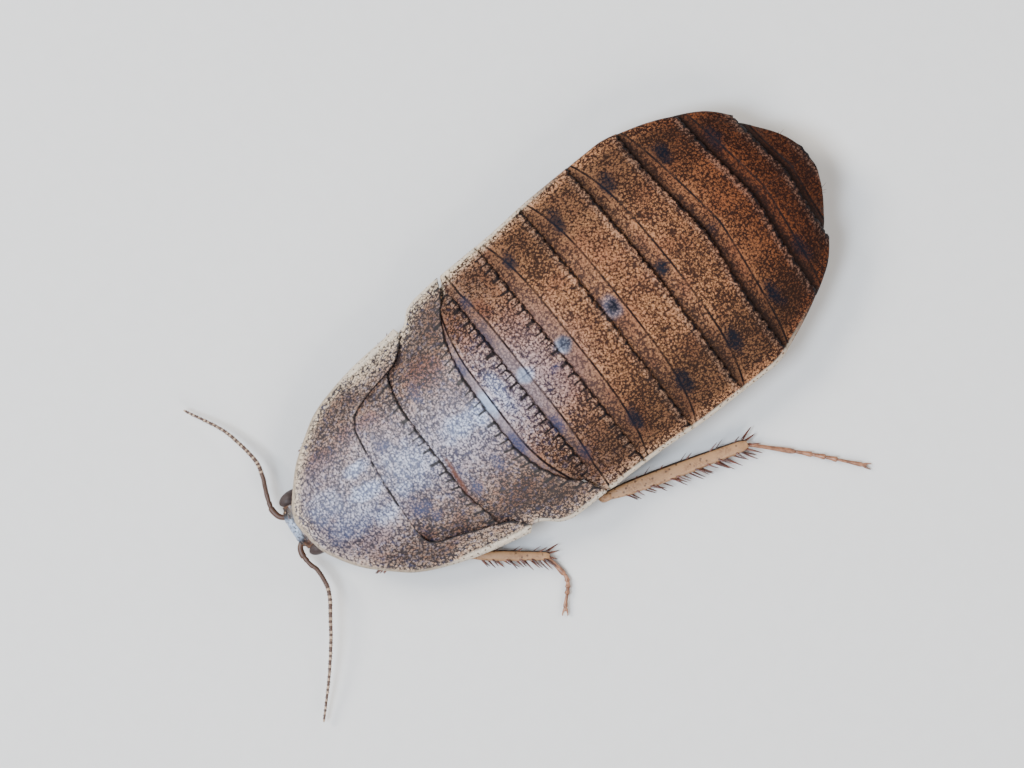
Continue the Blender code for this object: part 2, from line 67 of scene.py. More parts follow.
# How the back curves down from its crest to its margin
DOME_POWER = 2.1
DOME_FLARE = 1.15
PLATE_THICKNESS = 0.22
# Spacing of the points of a plate's mesh
STEP = 0.055
TAIL_STATION = 28.2
# Longer than any distance that matters
FAR = 9.0
# Teeth of the plates' rear edges
NOTCH_PITCH = 0.47
NOTCH_DEPTH = 0.07
# How far a plate reaches under the one before it, and how much narrower it is there
TUCK = 0.55
FRONT_NARROWING = 0.4
LEAST_VISIBLE = 0.05
# The line behind the smooth band bends forward towards the sides
LINE_BEND = 0.35
LINE_BEND_HALF = 5.3


def curve_through(points):
    """Return a smooth function through (position, value) pairs that never overshoots."""
    places, values = (np.array(axis, float) for axis in zip(*points))
    steps = np.diff(places)
    slopes = np.diff(values) / steps
    product = slopes[:-1] * slopes[1:]
    total = slopes[:-1] + slopes[1:]
    inner = np.where(product > 0, 2 * product / np.where(total == 0, 1, total), 0)
    tangents = np.concatenate((slopes[:1], inner, slopes[-1:]))

    def value_at(place):
        place = np.clip(place, places[0], places[-1])
        index = np.clip(np.searchsorted(places, place, side="right") - 1, 0, len(steps) - 1)
        step = steps[index]
        t = (place - places[index]) / step
        start = values[index] * (1 + 2 * t) * (1 - t) ** 2 + values[index + 1] * t * t * (3 - 2 * t)
        lean = tangents[index] * t * (1 - t) ** 2 + tangents[index + 1] * t * t * (t - 1)
        return start + lean * step

    return value_at


def smooth_step(low, high, value):
    """Rise smoothly from 0 at low to 1 at high; low may be the greater."""
    t = np.clip((value - low) / (high - low), 0, 1)
    return t * t * (3 - 2 * t)


# The body's plan and its heights, by station
RIM_START = 0.22
half_width = curve_through([
    (0.22, 0.5), (0.45, 1.05), (0.88, 1.67), (1.76, 2.73), (2.64, 3.47), (3.52, 4.11),
    (4.4, 4.5), (6.15, 5.0), (8.8, 5.45), (10.6, 5.88), (14.9, 5.97), (17.6, 6.14),
    (21.1, 6.17), (22.9, 5.75), (24.2, 5.25), (25.8, 4.4), (26.8, 3.3), (27.3, 2.42),
])
crest_height = curve_through([
    (0.22, 2.55), (1.0, 3.0), (2.0, 3.4), (4.0, 3.98), (7.0, 4.5), (11.0, 4.9),
    (16.0, 5.0), (20.0, 4.85), (23.0, 4.4), (25.5, 3.7), (27.0, 3.0), (28.2, 2.3),
])
margin_height = curve_through([(0.22, 2.45), (2.0, 2.15), (5.0, 1.9), (24.0, 1.9), (28.2, 1.8)])
# How much further out the back lies on its left, behind the shield
left_reach = curve_through([
    (8.6, 0.0), (9.4, 0.02), (10.4, 0.2), (13.0, 0.24), (21.5, 0.24), (23.5, 0.1), (25.5, 0.0),
])
# How high the plates' rear edges stand
rear_lift = curve_through([(4.0, 0.09), (12.0, 0.12), (18.0, 0.17), (23.0, 0.22), (28.2, 0.22)])
# The shield's rear edge on the left and on the right, from lobe to middle, as distance
# across and station
SHIELD_REAR_EDGES = [
    [(5.2, 8.9), (4.85, 8.65), (4.51, 8.3), (4.14, 7.2), (3.78, 6.0), (3.6, 5.25), (3.2, 4.78),
     (2.3, 4.66), (0.0, 4.62)],
    [(5.05, 8.86), (4.7, 8.55), (4.04, 7.7), (3.6, 6.3), (3.34, 5.6), (2.98, 5.05), (2.3, 4.76),
     (0.0, 4.62)],
]
LOBE_TIP_STATION = 8.7
RIM_TIP_STATION = 0.18

# Patches on the back: station, distance across, half length, half width, depth.
# A mark with a distance across is a pair, one on each side. The others are single.
PATCHES = {
    "mark": [
        (10.29, 0.0, 0.18, 0.5, 0.35), (12.3, 0.0, 0.22, 0.35, 0.5), (14.55, 0.0, 0.32, 0.4, 0.85),
        (17.2, 0.0, 0.32, 0.38, 0.95), (20.0, 0.0, 0.34, 0.34, 0.95), (22.9, 0.0, 0.3, 0.3, 0.5),
        (10.3, 2.1, 0.22, 0.45, 0.5), (12.0, 2.4, 0.22, 0.42, 0.5), (12.3, 4.2, 0.25, 0.4, 0.6),
        (14.95, 4.38, 0.3, 0.55, 0.95), (17.65, 4.5, 0.34, 0.62, 1.0), (20.45, 4.4, 0.36, 0.62, 0.95),
        (23.15, 3.95, 0.36, 0.62, 0.95), (25.4, 3.1, 0.32, 0.6, 0.8), (5.2, 1.6, 0.28, 0.5, 0.3),
        (7.85, 2.45, 0.26, 0.45, 0.3),
    ],
    # Painted pale bluish-white reflections on the glossy back
    "pale": [
        (3.7, 0.1, 1.05, 0.4, 0.8), (3.9, -1.0, 0.57, 0.31, 0.8), (1.9, -0.3, 0.97, 0.66, 0.45),
        (4.0, 1.4, 0.62, 0.4, 0.6), (2.7, 0.8, 1.32, 0.62, 0.4), (5.9, 0.2, 1.14, 1.14, 0.55),
        (5.3, 0.8, 0.53, 0.4, 0.6), (8.8, -0.1, 1.14, 0.53, 0.75), (9.7, 0.0, 0.4, 0.62, 0.9),
        (10.3, -0.1, 0.31, 0.57, 1.0), (12.3, 0.0, 0.42, 0.33, 0.8), (14.4, 0.0, 0.4, 0.35, 0.75),
        (17.1, 0.0, 0.4, 0.53, 0.35), (11.0, -0.3, 0.35, 1.1, 0.5),
    ],
    # Painted deep blue reflections on the glossy back
    "deep": [
        (5.3, -1.2, 0.35, 0.31, 0.9), (5.4, 2.0, 0.53, 0.4, 0.7), (5.8, 2.6, 0.31, 0.26, 0.7),
        (2.7, 1.2, 0.97, 0.35, 0.5), (1.6, 0.7, 0.62, 0.88, 0.3), (7.9, 2.5, 0.26, 0.26, 0.95),
        (9.2, 2.2, 0.26, 0.44, 0.6), (7.6, 1.6, 0.26, 0.35, 0.5), (10.3, 2.0, 0.26, 0.62, 0.9),
        (12.1, 2.5, 0.31, 0.4, 0.7), (13.6, 0.6, 0.31, 0.18, 0.6), (10.2, -2.1, 0.26, 0.35, 0.5),
        (7.8, -2.2, 0.22, 0.4, 0.5), (17.1, -0.1, 0.4, 0.31, 0.4),
    ],
    "ruddy": [
        (2.5, -2.1, 1.41, 0.57, 0.9), (4.5, -2.5, 0.62, 0.53, 0.8), (3.0, 2.0, 0.79, 0.4, 0.8),
        (1.4, 1.6, 0.44, 0.62, 0.5), (5.5, -2.5, 0.62, 0.35, 0.9), (8.8, -2.9, 1.14, 0.88, 0.9),
        (8.9, -1.4, 0.62, 0.44, 0.4), (9.2, 3.8, 1.05, 0.53, 0.6), (5.0, 3.0, 0.44, 0.44, 0.6),
        (11.2, -3.3, 0.44, 1.32, 0.5), (12.7, -3.5, 0.35, 0.62, 0.8), (8.8, -5.0, 0.22, 0.18, 1.0),
    ],
    # Bare skin in the joint behind the mesonotum, on the left
    "strip": [(7.42, 1.75, 0.11, 1.1, 1.0)],
}


def half_at(across, station):
    """Return the back's half width on the side on which a point lies."""
    return half_width(station) + left_reach(station) * (np.asarray(across) > 0)


def place(across, station, height, turned=True):
    """Return points in metres from millimetres across, behind the front rim and up."""
    across, station, height = np.broadcast_arrays(across, station, height)
    if turned:
        angle = TURN * smooth_step(TURN_END, TURN_FULL, station)
        behind = station - TURN_PIVOT
        moved = across * np.cos(angle) + behind * np.sin(angle)
        station = behind * np.cos(angle) - across * np.sin(angle) + TURN_PIVOT
        across = moved
    return np.stack((across, station - ORIGIN_STATION, height), axis=-1) * MM


def dome_height(across, station):
    """Return the height of the smooth back above points of the plan."""
    share = np.minimum(np.abs(across) / half_at(across, station), 1.0)
    margin = margin_height(station)
    return margin + (crest_height(station) - margin) * (1 - share ** DOME_POWER) ** DOME_FLARE


def bell(value, centre, width):
    """Return 1 at a centre, falling smoothly to 0 within about twice a width."""
    return np.exp(-((value - centre) / width) ** 2)


def scatter(column, row, seed):
    """Return repeatable random values from 0 to 1 for whole-number cells."""
    mixed = column.astype(np.int64) * 73856093 + row.astype(np.int64) * 19349663 + seed * 83492791
    mixed = (mixed ^ (mixed >> 13)) * 1274126177
    return ((mixed ^ (mixed >> 16)) & 65535) / 65535.0


def soft_noise(x, y, size, seed):
    """Return smooth random values from 0 to 1 with features of one size."""
    column = np.floor(x / size)
    row = np.floor(y / size)
    u = smooth_step(0, 1, x / size - column)
    v = smooth_step(0, 1, y / size - row)
    near = scatter(column, row, seed) * (1 - u) + scatter(column + 1, row, seed) * u
    far = scatter(column, row + 1, seed) * (1 - u) + scatter(column + 1, row + 1, seed) * u
    return near * (1 - v) + far * v


def granules(x, y, pitch, seed):
    """Return the height, 0 to 1, of round grains set unevenly at a pitch."""
    column = np.floor(x / pitch)
    row = np.floor(y / pitch)
    nearest = np.full(np.shape(x), FAR)
    for right in (-1, 0, 1):
        for up in (-1, 0, 1):
            centre_x = column + right + 0.15 + 0.7 * scatter(column + right, row + up, seed)
            centre_y = row + up + 0.15 + 0.7 * scatter(column + right, row + up, seed + 1)
            nearest = np.minimum(nearest, np.hypot(x / pitch - centre_x, y / pitch - centre_y))
    return np.clip(1 - (nearest / 0.62) ** 2, 0, 1)


def rounding(distance, radius):
    """Return how far a face drops near an edge so that the edge is round."""
    t = 1 - np.clip(distance / radius, 0, 1)
    return radius * 0.92 * (1 - np.sqrt(1 - t * t))


def grid(columns, rows):
    """Return two grids: one runs from -1 to 1 across, the other from 0 to 1 along."""
    return np.meshgrid(np.linspace(-1, 1, columns + 1), np.linspace(0, 1, rows + 1))


def add_object(name, data):
    """Put new data in the scene as an object."""
    thing = bpy.data.objects.new(name, data)
    bpy.context.scene.collection.objects.link(thing)
    return thing


def finish_piece(name, vertices, faces, material, slot, replaced, layers):
    """Make a mesh piece, give it its look and its place in the frame."""
    mesh = bpy.data.meshes.new(name)
    mesh.from_pydata(vertices, [], faces)
    mesh.validate()
    for layer, values in layers.items():
        attribute = mesh.attributes.new(layer, "FLOAT", "POINT")
        attribute.data.foreach_set("value", np.asarray(values, np.float32).ravel())
    mesh.shade_smooth()
    piece = add_object(name, mesh)
    mesh.materials.append(material)
    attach(piece, "root")
    if replaced:
        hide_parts(*replaced)


def shell_parts(across, station, top, under, turned=True):
    """Return vertices and faces of a thin closed shell between two grids of heights."""
    upper = place(across, station, top, turned).reshape(-1, 3)
    lower = place(across, station, under, turned).reshape(-1, 3)
    count = len(upper)
    index = np.arange(count).reshape(across.shape)
    quads = np.stack((index[:-1, :-1], index[:-1, 1:], index[1:, 1:], index[1:, :-1]), -1).reshape(-1, 4)
    rim = np.concatenate((index[0, :-1], index[:-1, -1], index[-1, :0:-1], index[:0:-1, 0]))
    after = np.roll(rim, -1)
    walls = np.stack((rim, rim + count, after + count, after), -1)
    faces = np.concatenate((quads, quads[:, ::-1] + count, walls))
    first = upper[quads[0]]
    if np.cross(first[1] - first[0], first[2] - first[0])[2] < 0:
        faces = faces[:, ::-1]
    return np.concatenate((upper, lower)), faces.tolist()


def patches_at(across, station, table, paired):
    """Return how strongly a table's soft-edged patches cover each point of the back, 0 to 1."""
    cover = np.zeros(np.shape(across))
    wobble = 0.5 * (soft_noise(across, station, 0.3, 5) - 0.5)
    for patch_station, patch_across, half_long, half_wide, depth in table:
        for side in ((1, -1) if paired and patch_across else (1,)):
            away = np.hypot((station - patch_station) / half_long, (across - patch_across * side) / half_wide)
            cover = np.maximum(cover, depth * smooth_step(1.4, 0.4, away + wobble))
    return cover


def relief(across, station, grain):
    """Return the fine relief of the cuticle where grain is 1 and smooth where it is 0."""
    folds = soft_noise(across, station, 0.45, 3) - 0.5
    return grain * (0.022 * granules(across * 0.9, station, 0.17, 11) + 0.012 * folds)


def finish_plate(node, look, top, under, layers):
    """Make a back plate. The shader reads its layers, the patches and which face is under."""
    slot, material = look
    across, station = layers["across"], layers["station"]
    covers = {name: patches_at(across, station, table, name == "mark") for name, table in PATCHES.items()}
    layers = {name: np.tile(values.ravel(), 2) for name, values in {**layers, **covers}.items()}
    layers["under"] = np.repeat((0.0, 1.0), across.size)
    finish_piece(f"plate_{node}", *shell_parts(across, station, top, under), material, slot, [node], layers)


def add_plate(node, width, front, rear, band, look, side_tuck=0.0, notched=1.0, tuck=TUCK, skew=0.0):
    """Build one back plate as a thin shell that slides under the plate before it."""
    widest = float(np.max(width(np.linspace(front(0.0), rear(0.0), 9)))) + side_tuck
    columns = int(2 * widest / STEP)
    side, share = grid(columns, int((float(rear(0.0) - front(0.0)) + tuck) / STEP))
    start = front(np.abs(side))
    end = rear(np.abs(side)) + skew * np.clip(side * 1.3, -1, 1)
    visible = np.maximum(end - start, LEAST_VISIBLE)
    from_start = -tuck + (visible + tuck) * share
    behind = start + from_start
    body_width = width(behind) + side_tuck
    if not skew and tuck == TUCK:
        body_width = body_width - FRONT_NARROWING * smooth_step(-0.08, -0.4, from_start)
    across = side * body_width
    if not side_tuck:
        across = across + left_reach(behind) * np.clip(side, 0, 1) ** 2
    along = np.cumsum(np.full(columns + 1, 2 * widest / columns)) - widest
    wander = 0.9 * (soft_noise(along, along * 0, 1.1, 8) - 0.5)
    phase = np.abs((along / NOTCH_PITCH + wander) % 1.0 - 0.5) * NOTCH_PITCH
    notch = np.broadcast_to(phase, across.shape)
    cut = notched * NOTCH_DEPTH * smooth_step(0.1, 0.03, notch) * smooth_step(0.75, 1.0, share)
    ragged = 0.05 * (soft_noise(across, across * 0, 0.2, 4) - 0.5) * smooth_step(0.8, 1.0, share)
    behind = behind - cut + ragged
    from_rear = (1 - share) * (visible + tuck)
    from_side = (1 - np.abs(side)) * body_width
    behind_line = from_start - band + LINE_BEND * (np.abs(across) / LINE_BEND_HALF) ** 4
    rise = rear_lift(behind) * np.clip(from_start / visible, 0, 1) ** 1.6
    step = 0.035 * smooth_step(-0.03, 0.06, behind_line)
    groove = -0.02 * np.exp(-(behind_line / 0.04) ** 2)
    tuck_drop = 0.05 * smooth_step(0.5, 0.0, from_start) + 0.25 * smooth_step(0.0, -tuck, from_start)
    side_drop = 0.2 * smooth_step(side_tuck + 0.1, side_tuck * 0.4, from_side) if side_tuck else 0.0
    crumple = 0.022 * smooth_step(0.35, 0.05, from_rear) * (soft_noise(across, behind, 0.25, 9) - 0.3)
    top = dome_height(across, behind) + rise + step + groove - tuck_drop - side_drop + crumple
    top = top + relief(across, behind, smooth_step(-0.02, 0.1, behind_line))
    closing = rounding(np.minimum(from_side, from_rear), PLATE_THICKNESS / 2)
    finish_plate(node, look, top - closing, top - PLATE_THICKNESS + closing, {
        "across": across, "station": behind, "behind_line": behind_line, "from_front": from_start,
        "from_rear": from_rear, "from_side": from_side + (FAR if side_tuck else 0.0), "notch": notch,
    })


def lengths_along(points):
    """Return how far along a line each of its points lies."""
    return np.concatenate(([0], np.cumsum(np.linalg.norm(np.diff(points, axis=0), axis=1))))


def resample(points, count):
    """Return evenly spaced points on a smooth line through a few points."""
    points = np.array(points, float)
    lengths = lengths_along(points)
    share = np.linspace(0, lengths[-1], count + 1)
    return np.stack([curve_through(list(zip(lengths, axis)))(share) for axis in points.T], -1)


SHIELD_COLUMNS = 190
SHIELD_ROWS = 64
SHIELD_THICKNESS = 0.28


def add_shield(look):
    """Build the pronotum: the hood over the head with its two rear lobes."""
    stations = RIM_START + (LOBE_TIP_STATION - RIM_START) * (1 - np.arange(120) / 120) ** 2
    rim = np.concatenate((np.stack((half_width(stations), stations), -1), [[0.0, RIM_TIP_STATION]]))
    rim = resample(rim, SHIELD_COLUMNS)
    part = np.linspace(0, 1, SHIELD_ROWS + 1)[:, None]
    inners = [resample(rear_edge, SHIELD_COLUMNS) for rear_edge in SHIELD_REAR_EDGES]
    left, right = (rim[None] + (inner - rim)[None] * part[..., None] for inner in inners)
    spans, right_spans = (np.linalg.norm(inner - rim, axis=1) for inner in inners)
    spans = np.concatenate((spans, right_spans[-2::-1]))[None, :]
    points = np.concatenate((left, right[:, -2::-1] * [-1, 1]), axis=1)
    across = points[..., 0]
    station = points[..., 1]
    set_back = np.exp(-(across / 1.3) ** 2) * (0.2 + 0.12 * np.tanh(across / 0.6))
    station = station + set_back * (1 - part) ** 2
    from_rim = part * spans
    from_tip = lengths_along(rim)
    from_tip = np.concatenate((from_tip, from_tip[-2::-1]))[None, :]
    end_distance = np.minimum((1 - part) * spans, from_tip)
    bead = 0.05 * bell(from_rim, 0.16, 0.12) - 0.04 * bell(from_rim, 0.42, 0.14)
    lobe = smooth_step(4.6, 6.2, station)
    crease = -0.07 * lobe * bell(from_rim, 0.75, 0.09)
    top = dome_height(across, station) + rear_lift(4.0) * part ** 2 + bead + crease
    top = top + relief(across, station, smooth_step(0.05, 0.3, from_rim))
    closing = rounding(np.minimum(from_rim, end_distance), SHIELD_THICKNESS / 2)
    plain = np.ones_like(across)
    finish_plate("pronotum", look, top - closing, top - SHIELD_THICKNESS + closing, {
        "across": across, "station": station, "behind_line": plain, "from_front": plain,
        "from_rear": end_distance, "from_side": from_rim * (1 - 0.6 * lobe),
        "notch": np.abs((across / NOTCH_PITCH) % 1.0 - 0.5) * NOTCH_PITCH + 0.06,
    })


class Value:
    """A number in a material's nodes, which operators combine with others."""

    def __init__(self, surface, socket):
        self.surface = surface
        self.socket = socket

    def __abs__(self):
        return self.surface.math("ABSOLUTE", self)

    def step(self, low, high):
        """Rise from 0 to 1 as the value goes from low to high; low may be the greater."""
        node = self.surface.nodes.new("ShaderNodeMapRange")
        node.interpolation_type = "SMOOTHSTEP"
        ends = (low, high, 0.0, 1.0) if low <= high else (high, low, 1.0, 0.0)
        for name, number in zip(("From Min", "From Max", "To Min", "To Max"), ends):
            node.inputs[name].default_value = number
        self.surface.put(node.inputs["Value"], self)
        return Value(self.surface, node.outputs["Result"])


def add_operator(name, operation, swapped=False):
    """Let an operator combine values of a material."""
    def combine(value, other):
        pair = (other, value) if swapped else (value, other)
        return value.surface.math(operation, *pair)
    setattr(Value, name, combine)


for operator, meaning in (("__add__", "ADD"), ("__sub__", "SUBTRACT"), ("__mul__", "MULTIPLY"),
                          ("__truediv__", "DIVIDE")):
    add_operator(operator, meaning)
add_operator("__rsub__", "SUBTRACT", swapped=True)


class Surface:
    """A material whose nodes are added one call at a time."""

    def __init__(self, name, roughness=0.5, coat=0.0, coat_roughness=0.3, specular=0.5):
        self.material = bpy.data.materials.new(name)
        self.material.use_nodes = True
        self.nodes = self.material.node_tree.nodes
        self.links = self.material.node_tree.links
        self.shader = self.nodes["Principled BSDF"]
        self.shader.inputs["Roughness"].default_value = roughness
        self.shader.inputs["Coat Weight"].default_value = coat
        self.shader.inputs["Coat Roughness"].default_value = coat_roughness
        self.shader.inputs["Specular IOR Level"].default_value = specular
        self.coordinates = self.nodes.new("ShaderNodeTexCoord").outputs["Object"]

    def put(self, socket, value):
        """Set a socket to a number or colour, or link it to another node."""
        if isinstance(value, Value):
            value = value.socket
        if isinstance(value, bpy.types.NodeSocket):
            self.links.new(value, socket)
        elif isinstance(value, tuple):
            socket.default_value = (*value, 1.0)
        else:
            socket.default_value = value

    def layer(self, name):
        """Read a value stored on the mesh."""
        node = self.nodes.new("ShaderNodeAttribute")
        node.attribute_name = name
        return Value(self, node.outputs["Fac"])

    def texture(self, kind, size, stretch=None):
        """Return a texture node with features of a size in mm, stretched along some axes."""
        vector = self.coordinates
        if stretch is not None:
            mapping = self.nodes.new("ShaderNodeMapping")
            mapping.inputs["Scale"].default_value = stretch
            self.links.new(vector, mapping.inputs["Vector"])
            vector = mapping.outputs["Vector"]
        node = self.nodes.new(kind)
        node.inputs["Scale"].default_value = 1 / (size * MM)
        self.links.new(vector, node.inputs["Vector"])
        return node

    def noise(self, size, detail=2.0, roughness=0.5, stretch=None):
        """Return soft noise with features of a size."""
        node = self.texture("ShaderNodeTexNoise", size, stretch)
        node.inputs["Detail"].default_value = detail
        node.inputs["Roughness"].default_value = roughness
        return Value(self, node.outputs["Fac"])

    def cells(self, size):
        """Return the distance from the nearest cell centre, with cells of a size."""
        return Value(self, self.texture("ShaderNodeTexVoronoi", size).outputs["Distance"])

    def math(self, operation, *numbers):
        """Combine numbers."""
        node = self.nodes.new("ShaderNodeMath")
        node.operation = operation
        for socket, value in zip(node.inputs, numbers):
            self.put(socket, value)
        return Value(self, node.outputs[0])

    def mix(self, share, first, second):
        """Blend two colours."""
        node = self.nodes.new("ShaderNodeMix")
        node.data_type = "RGBA"
        for number, value in ((0, share), (6, first), (7, second)):
            self.put(node.inputs[number], value)
        return node.outputs[2]

    def paint(self, colour, *coats):
        """Lay coats over a colour, each a share and a colour."""
        for share, coat in coats:
            colour = self.mix(share, colour, coat)
        return colour

    def bump(self, height, distance, strength=1.0):
        """Raise the surface's shading by a height times a distance in millimetres."""
        node = self.nodes.new("ShaderNodeBump")
        node.inputs["Strength"].default_value = strength
        node.inputs["Distance"].default_value = distance * MM
        self.put(node.inputs["Height"], height)
        self.links.new(node.outputs["Normal"], self.shader.inputs["Normal"])

    def finish(self, colour, roughness=None):
        """Link the colour, and the roughness where it varies."""
        self.put(self.shader.inputs["Base Color"], colour)
        if roughness is not None:
            self.put(self.shader.inputs["Roughness"], roughness)
        return self.material


def plate_material(name, coat, specular):
    """Return the speckled cuticle of the back."""
    s = Surface(name, coat=coat, coat_roughness=0.34, specular=specular)
    ridges = s.noise(0.043, 2.0, 0.6, (0.9, 0.95, 1.0))
    wrinkles = s.noise(0.1, 1.0, 0.5, (0.5, 1.5, 1.0))
    broken = s.noise(0.5, 1.0, 0.5, (1.0, 0.2, 0.2))
    blotch = s.noise(0.9, 3.0, 0.6)
    broad = s.noise(3.2)
    tint = s.noise(0.2)
    station, behind_line, from_front, from_rear, from_side, pale, mark = (s.layer(layer) for layer in (
        "station", "behind_line", "from_front", "from_rear", "from_side", "pale", "mark"))
    across = abs(s.layer("across"))
    left = s.layer("across").step(-0.5, 0.5)
    warm = station.step(7.5, 16.0)
    front = station.step(15.0, 9.0)
    rear = station.step(19.5, 25.5)
    band = behind_line.step(0.04, -0.04)
    to_rim = from_side / (station.step(16.0, 9.5) * 0.25 + 0.6) + (blotch - 0.5) * 0.8
    rim = to_rim.step(1.0, 0.1) * station.step(20.5, 12.5) * (left * -0.6 + 1.0)

    # Speckles: light where the sum of the patterns is high
    wrinkled = across.step(3.6, 1.6) * front * 1.3 + 0.5
    pattern = (ridges - 0.5) * 3.5 + (wrinkles - 0.5) * wrinkled + (0.45 - s.cells(0.12)) * 1.8
    pattern = pattern + (s.noise(0.035, 2.0, 0.6) - 0.5) * 0.9 + (blotch - 0.5) * 1.2
    pattern = pattern + (broad - 0.5) * 0.7 + rim * 0.2 + abs(behind_line).step(0.3, 0.1) * 0.3
    pattern = (pattern + rear * -0.12) * (across.step(1.6, 4.2) * 0.8 + 1.0)
    light_share = pattern.step(-0.6, 0.64)

    cooler = tint.step(0.48, 0.32) * front * 0.5
    # crest is a painted bluish-white sheen along the middle of the front half of the back
    crest = across.step(3.6, 0.4) * station.step(16.5, 9.0) * (broad.step(0.3, 0.62) * 0.5 + 0.5)
    ruddy = s.math("MAXIMUM", s.noise(1.5).step(0.45, 0.7) * 0.5, s.layer("ruddy"))
    # The crest and the pale patches paint reflections over the grains: bluish white on the light grains, grey
    # blue on the dark
    light = s.paint(
        (0.37, 0.24, 0.18), (warm, (0.41, 0.19, 0.088)), (tint.step(0.5, 0.66) * 0.6, (0.42, 0.18, 0.09)),
        (cooler, (0.2, 0.22, 0.34)), (ruddy * 0.85, (0.2, 0.06, 0.034)), (crest * 0.8, (0.46, 0.43, 0.5)),
        (pale, (0.55, 0.62, 0.8)), (rim * 0.85, (0.68, 0.54, 0.37)), (rear * 0.95, (0.15, 0.042, 0.014)),
    )
    dark = s.paint(
        (0.018, 0.011, 0.012), (warm, (0.028, 0.011, 0.0065)), (cooler, (0.03, 0.035, 0.085)),
        (crest * 0.6, (0.06, 0.055, 0.09)), (pale * 0.8, (0.11, 0.13, 0.22)), (rear, (0.016, 0.005, 0.003)),
    )

    pits = s.cells(0.17).step(0.3, 0.14)
    shade = left * station.step(11.0, 14.0) * 0.08 + 0.52
    smooth_band = band * station.step(21.0, 9.0) * across.step(5.2, 1.0)
    # On the smooth bands too, the pale patches are painted bluish-white reflections
    smooth_colour = s.paint((0.2, 0.17, 0.2), (warm, (0.085, 0.045, 0.036)), (light_share * 0.35, light),
                            (pale * 0.85, (0.5, 0.62, 0.82)))
    # Painted deep blue reflections, from the deep patches
    deep = s.layer("deep") * (light_share * -0.35 + 0.95)
    # Painted highlight on the raised rear edge of each plate, on the light grains
    raised = from_rear.step(0.42, 0.2) * light_share * 0.2
    line = abs(behind_line).step(0.065, 0.03) * (blotch.step(0.35, 0.6) * 0.3 + 0.68)
    tick = s.layer("notch").step(0.07, 0.035) * (from_rear - (blotch * 0.7 + 0.1)).step(0.06, -0.06)
    # Painted shadow under each plate's rear edge: broken dark strokes and a thin dark line along it
    edge_shadow = from_rear.step(0.15, 0.07) * broken.step(0.45, 0.54)
    edge_shadow = s.math("MAXIMUM", edge_shadow, from_rear.step(0.07, 0.03) * 0.65)
    spot_colour = s.mix(warm, (0.03, 0.035, 0.08), (0.003, 0.004, 0.009))
    edge = from_side.step(0.2, 0.09) * (station - (left * 5.0 + 17.0)).step(2.5, -1.5)
    cream = s.mix(station.step(4.2, 6.2), (0.4, 0.31, 0.215), (0.68, 0.58, 0.45))
    cream = s.mix(s.cells(0.16).step(0.22, 0.34), (0.12, 0.08, 0.055), cream)
    colour = s.paint(
        s.mix(light_share, dark, light),
        (pits * 0.72, (0.008, 0.005, 0.005)),
        (across.step(1.8, 4.6) * to_rim.step(0.4, 1.2) * shade, (0.016, 0.007, 0.004)),
        (station.step(24.6, 27.4) * 0.5, (0.008, 0.0015, 0.0008)),
        (smooth_band * 0.85, smooth_colour),
        (band * 0.2, (0.03, 0.013, 0.01)),
        (deep * 0.88, (0.032, 0.042, 0.1)),
        (raised, s.mix(0.5, light, (0.6, 0.5, 0.42))),
        # Painted shadow cast by the raised rear edge of the plate in front, on the rear plates
        (from_front.step(0.5, 0.06) * station.step(13.0, 23.5) * 0.85, (0.009, 0.004, 0.003)),
        (line, (0.006, 0.003, 0.003)),
        (across.step(0.05, 0.015) * station.step(10.5, 13.0) * 0.55, (0.012, 0.006, 0.006)),
        (tick * (station.step(13.0, 19.0) * -0.7 + 0.95), (0.006, 0.004, 0.005)),
        (edge_shadow * 0.95, (0.007, 0.005, 0.006)),
        (s.layer("strip") * 0.9, (0.1, 0.03, 0.014)),
        (mark * (light_share * -0.2 + 1.05), spot_colour),
        (edge * from_front.step(-0.12, 0.04) * 0.8, cream),
        (s.layer("under").step(0.2, 0.5), s.mix(blotch, (0.05, 0.02, 0.012), (0.13, 0.06, 0.034))),
    )
    s.bump(light_share * (band * -0.7 + 1.0), 0.03, 0.8)
    return s.finish(colour, band * front * -0.12 + 0.47 + mark * front * -0.15 + ridges * 0.14)


def simple_cuticle(name, dark, light, roughness, size=0.4, coat=0.2, bump=0.02, specks=0.0):
    """Return a smooth cuticle with soft mottling and, if wanted, a few dark specks."""
    s = Surface(name, roughness=roughness, coat=coat, coat_roughness=0.2)
    broad = s.noise(size, 3.0, 0.6)
    fine = s.noise(0.06)
    colour = s.mix(broad.step(0.3, 0.7), dark, light)
    if specks:
        colour = s.mix(s.cells(0.28).step(0.16, 0.1) * specks, colour, tuple(value * 0.25 for value in dark))
    s.bump(broad * 0.6 + fine * 0.4, bump, 0.6)
    return s.finish(colour, fine * 0.12 + (roughness - 0.06))


# Plates of the abdomen: number, width of the smooth band in front, and the rear edge's
# station by share of the way from the middle to the side
TERGITES = [
    (2, 0.57, [(0.0, 14.15), (1.0, 14.2)]),
    (3, 0.8, [(0.0, 16.75), (1.0, 16.75)]),
    (4, 0.92, [(0.0, 19.56), (1.0, 19.5)]),
    (5, 0.84, [(0.0, 22.46), (0.73, 22.1), (1.0, 22.15)]),
    (6, 0.75, [(0.0, 25.14), (0.7, 24.8), (1.0, 24.75)]),
    (7, 0.6, [(0.0, 26.99), (0.7, 26.75), (1.0, 26.7)]),
]
# The first plate lies between the metanotum's corners, so it takes only this share of
# the width
TERGITE_1_SHARE = 0.8
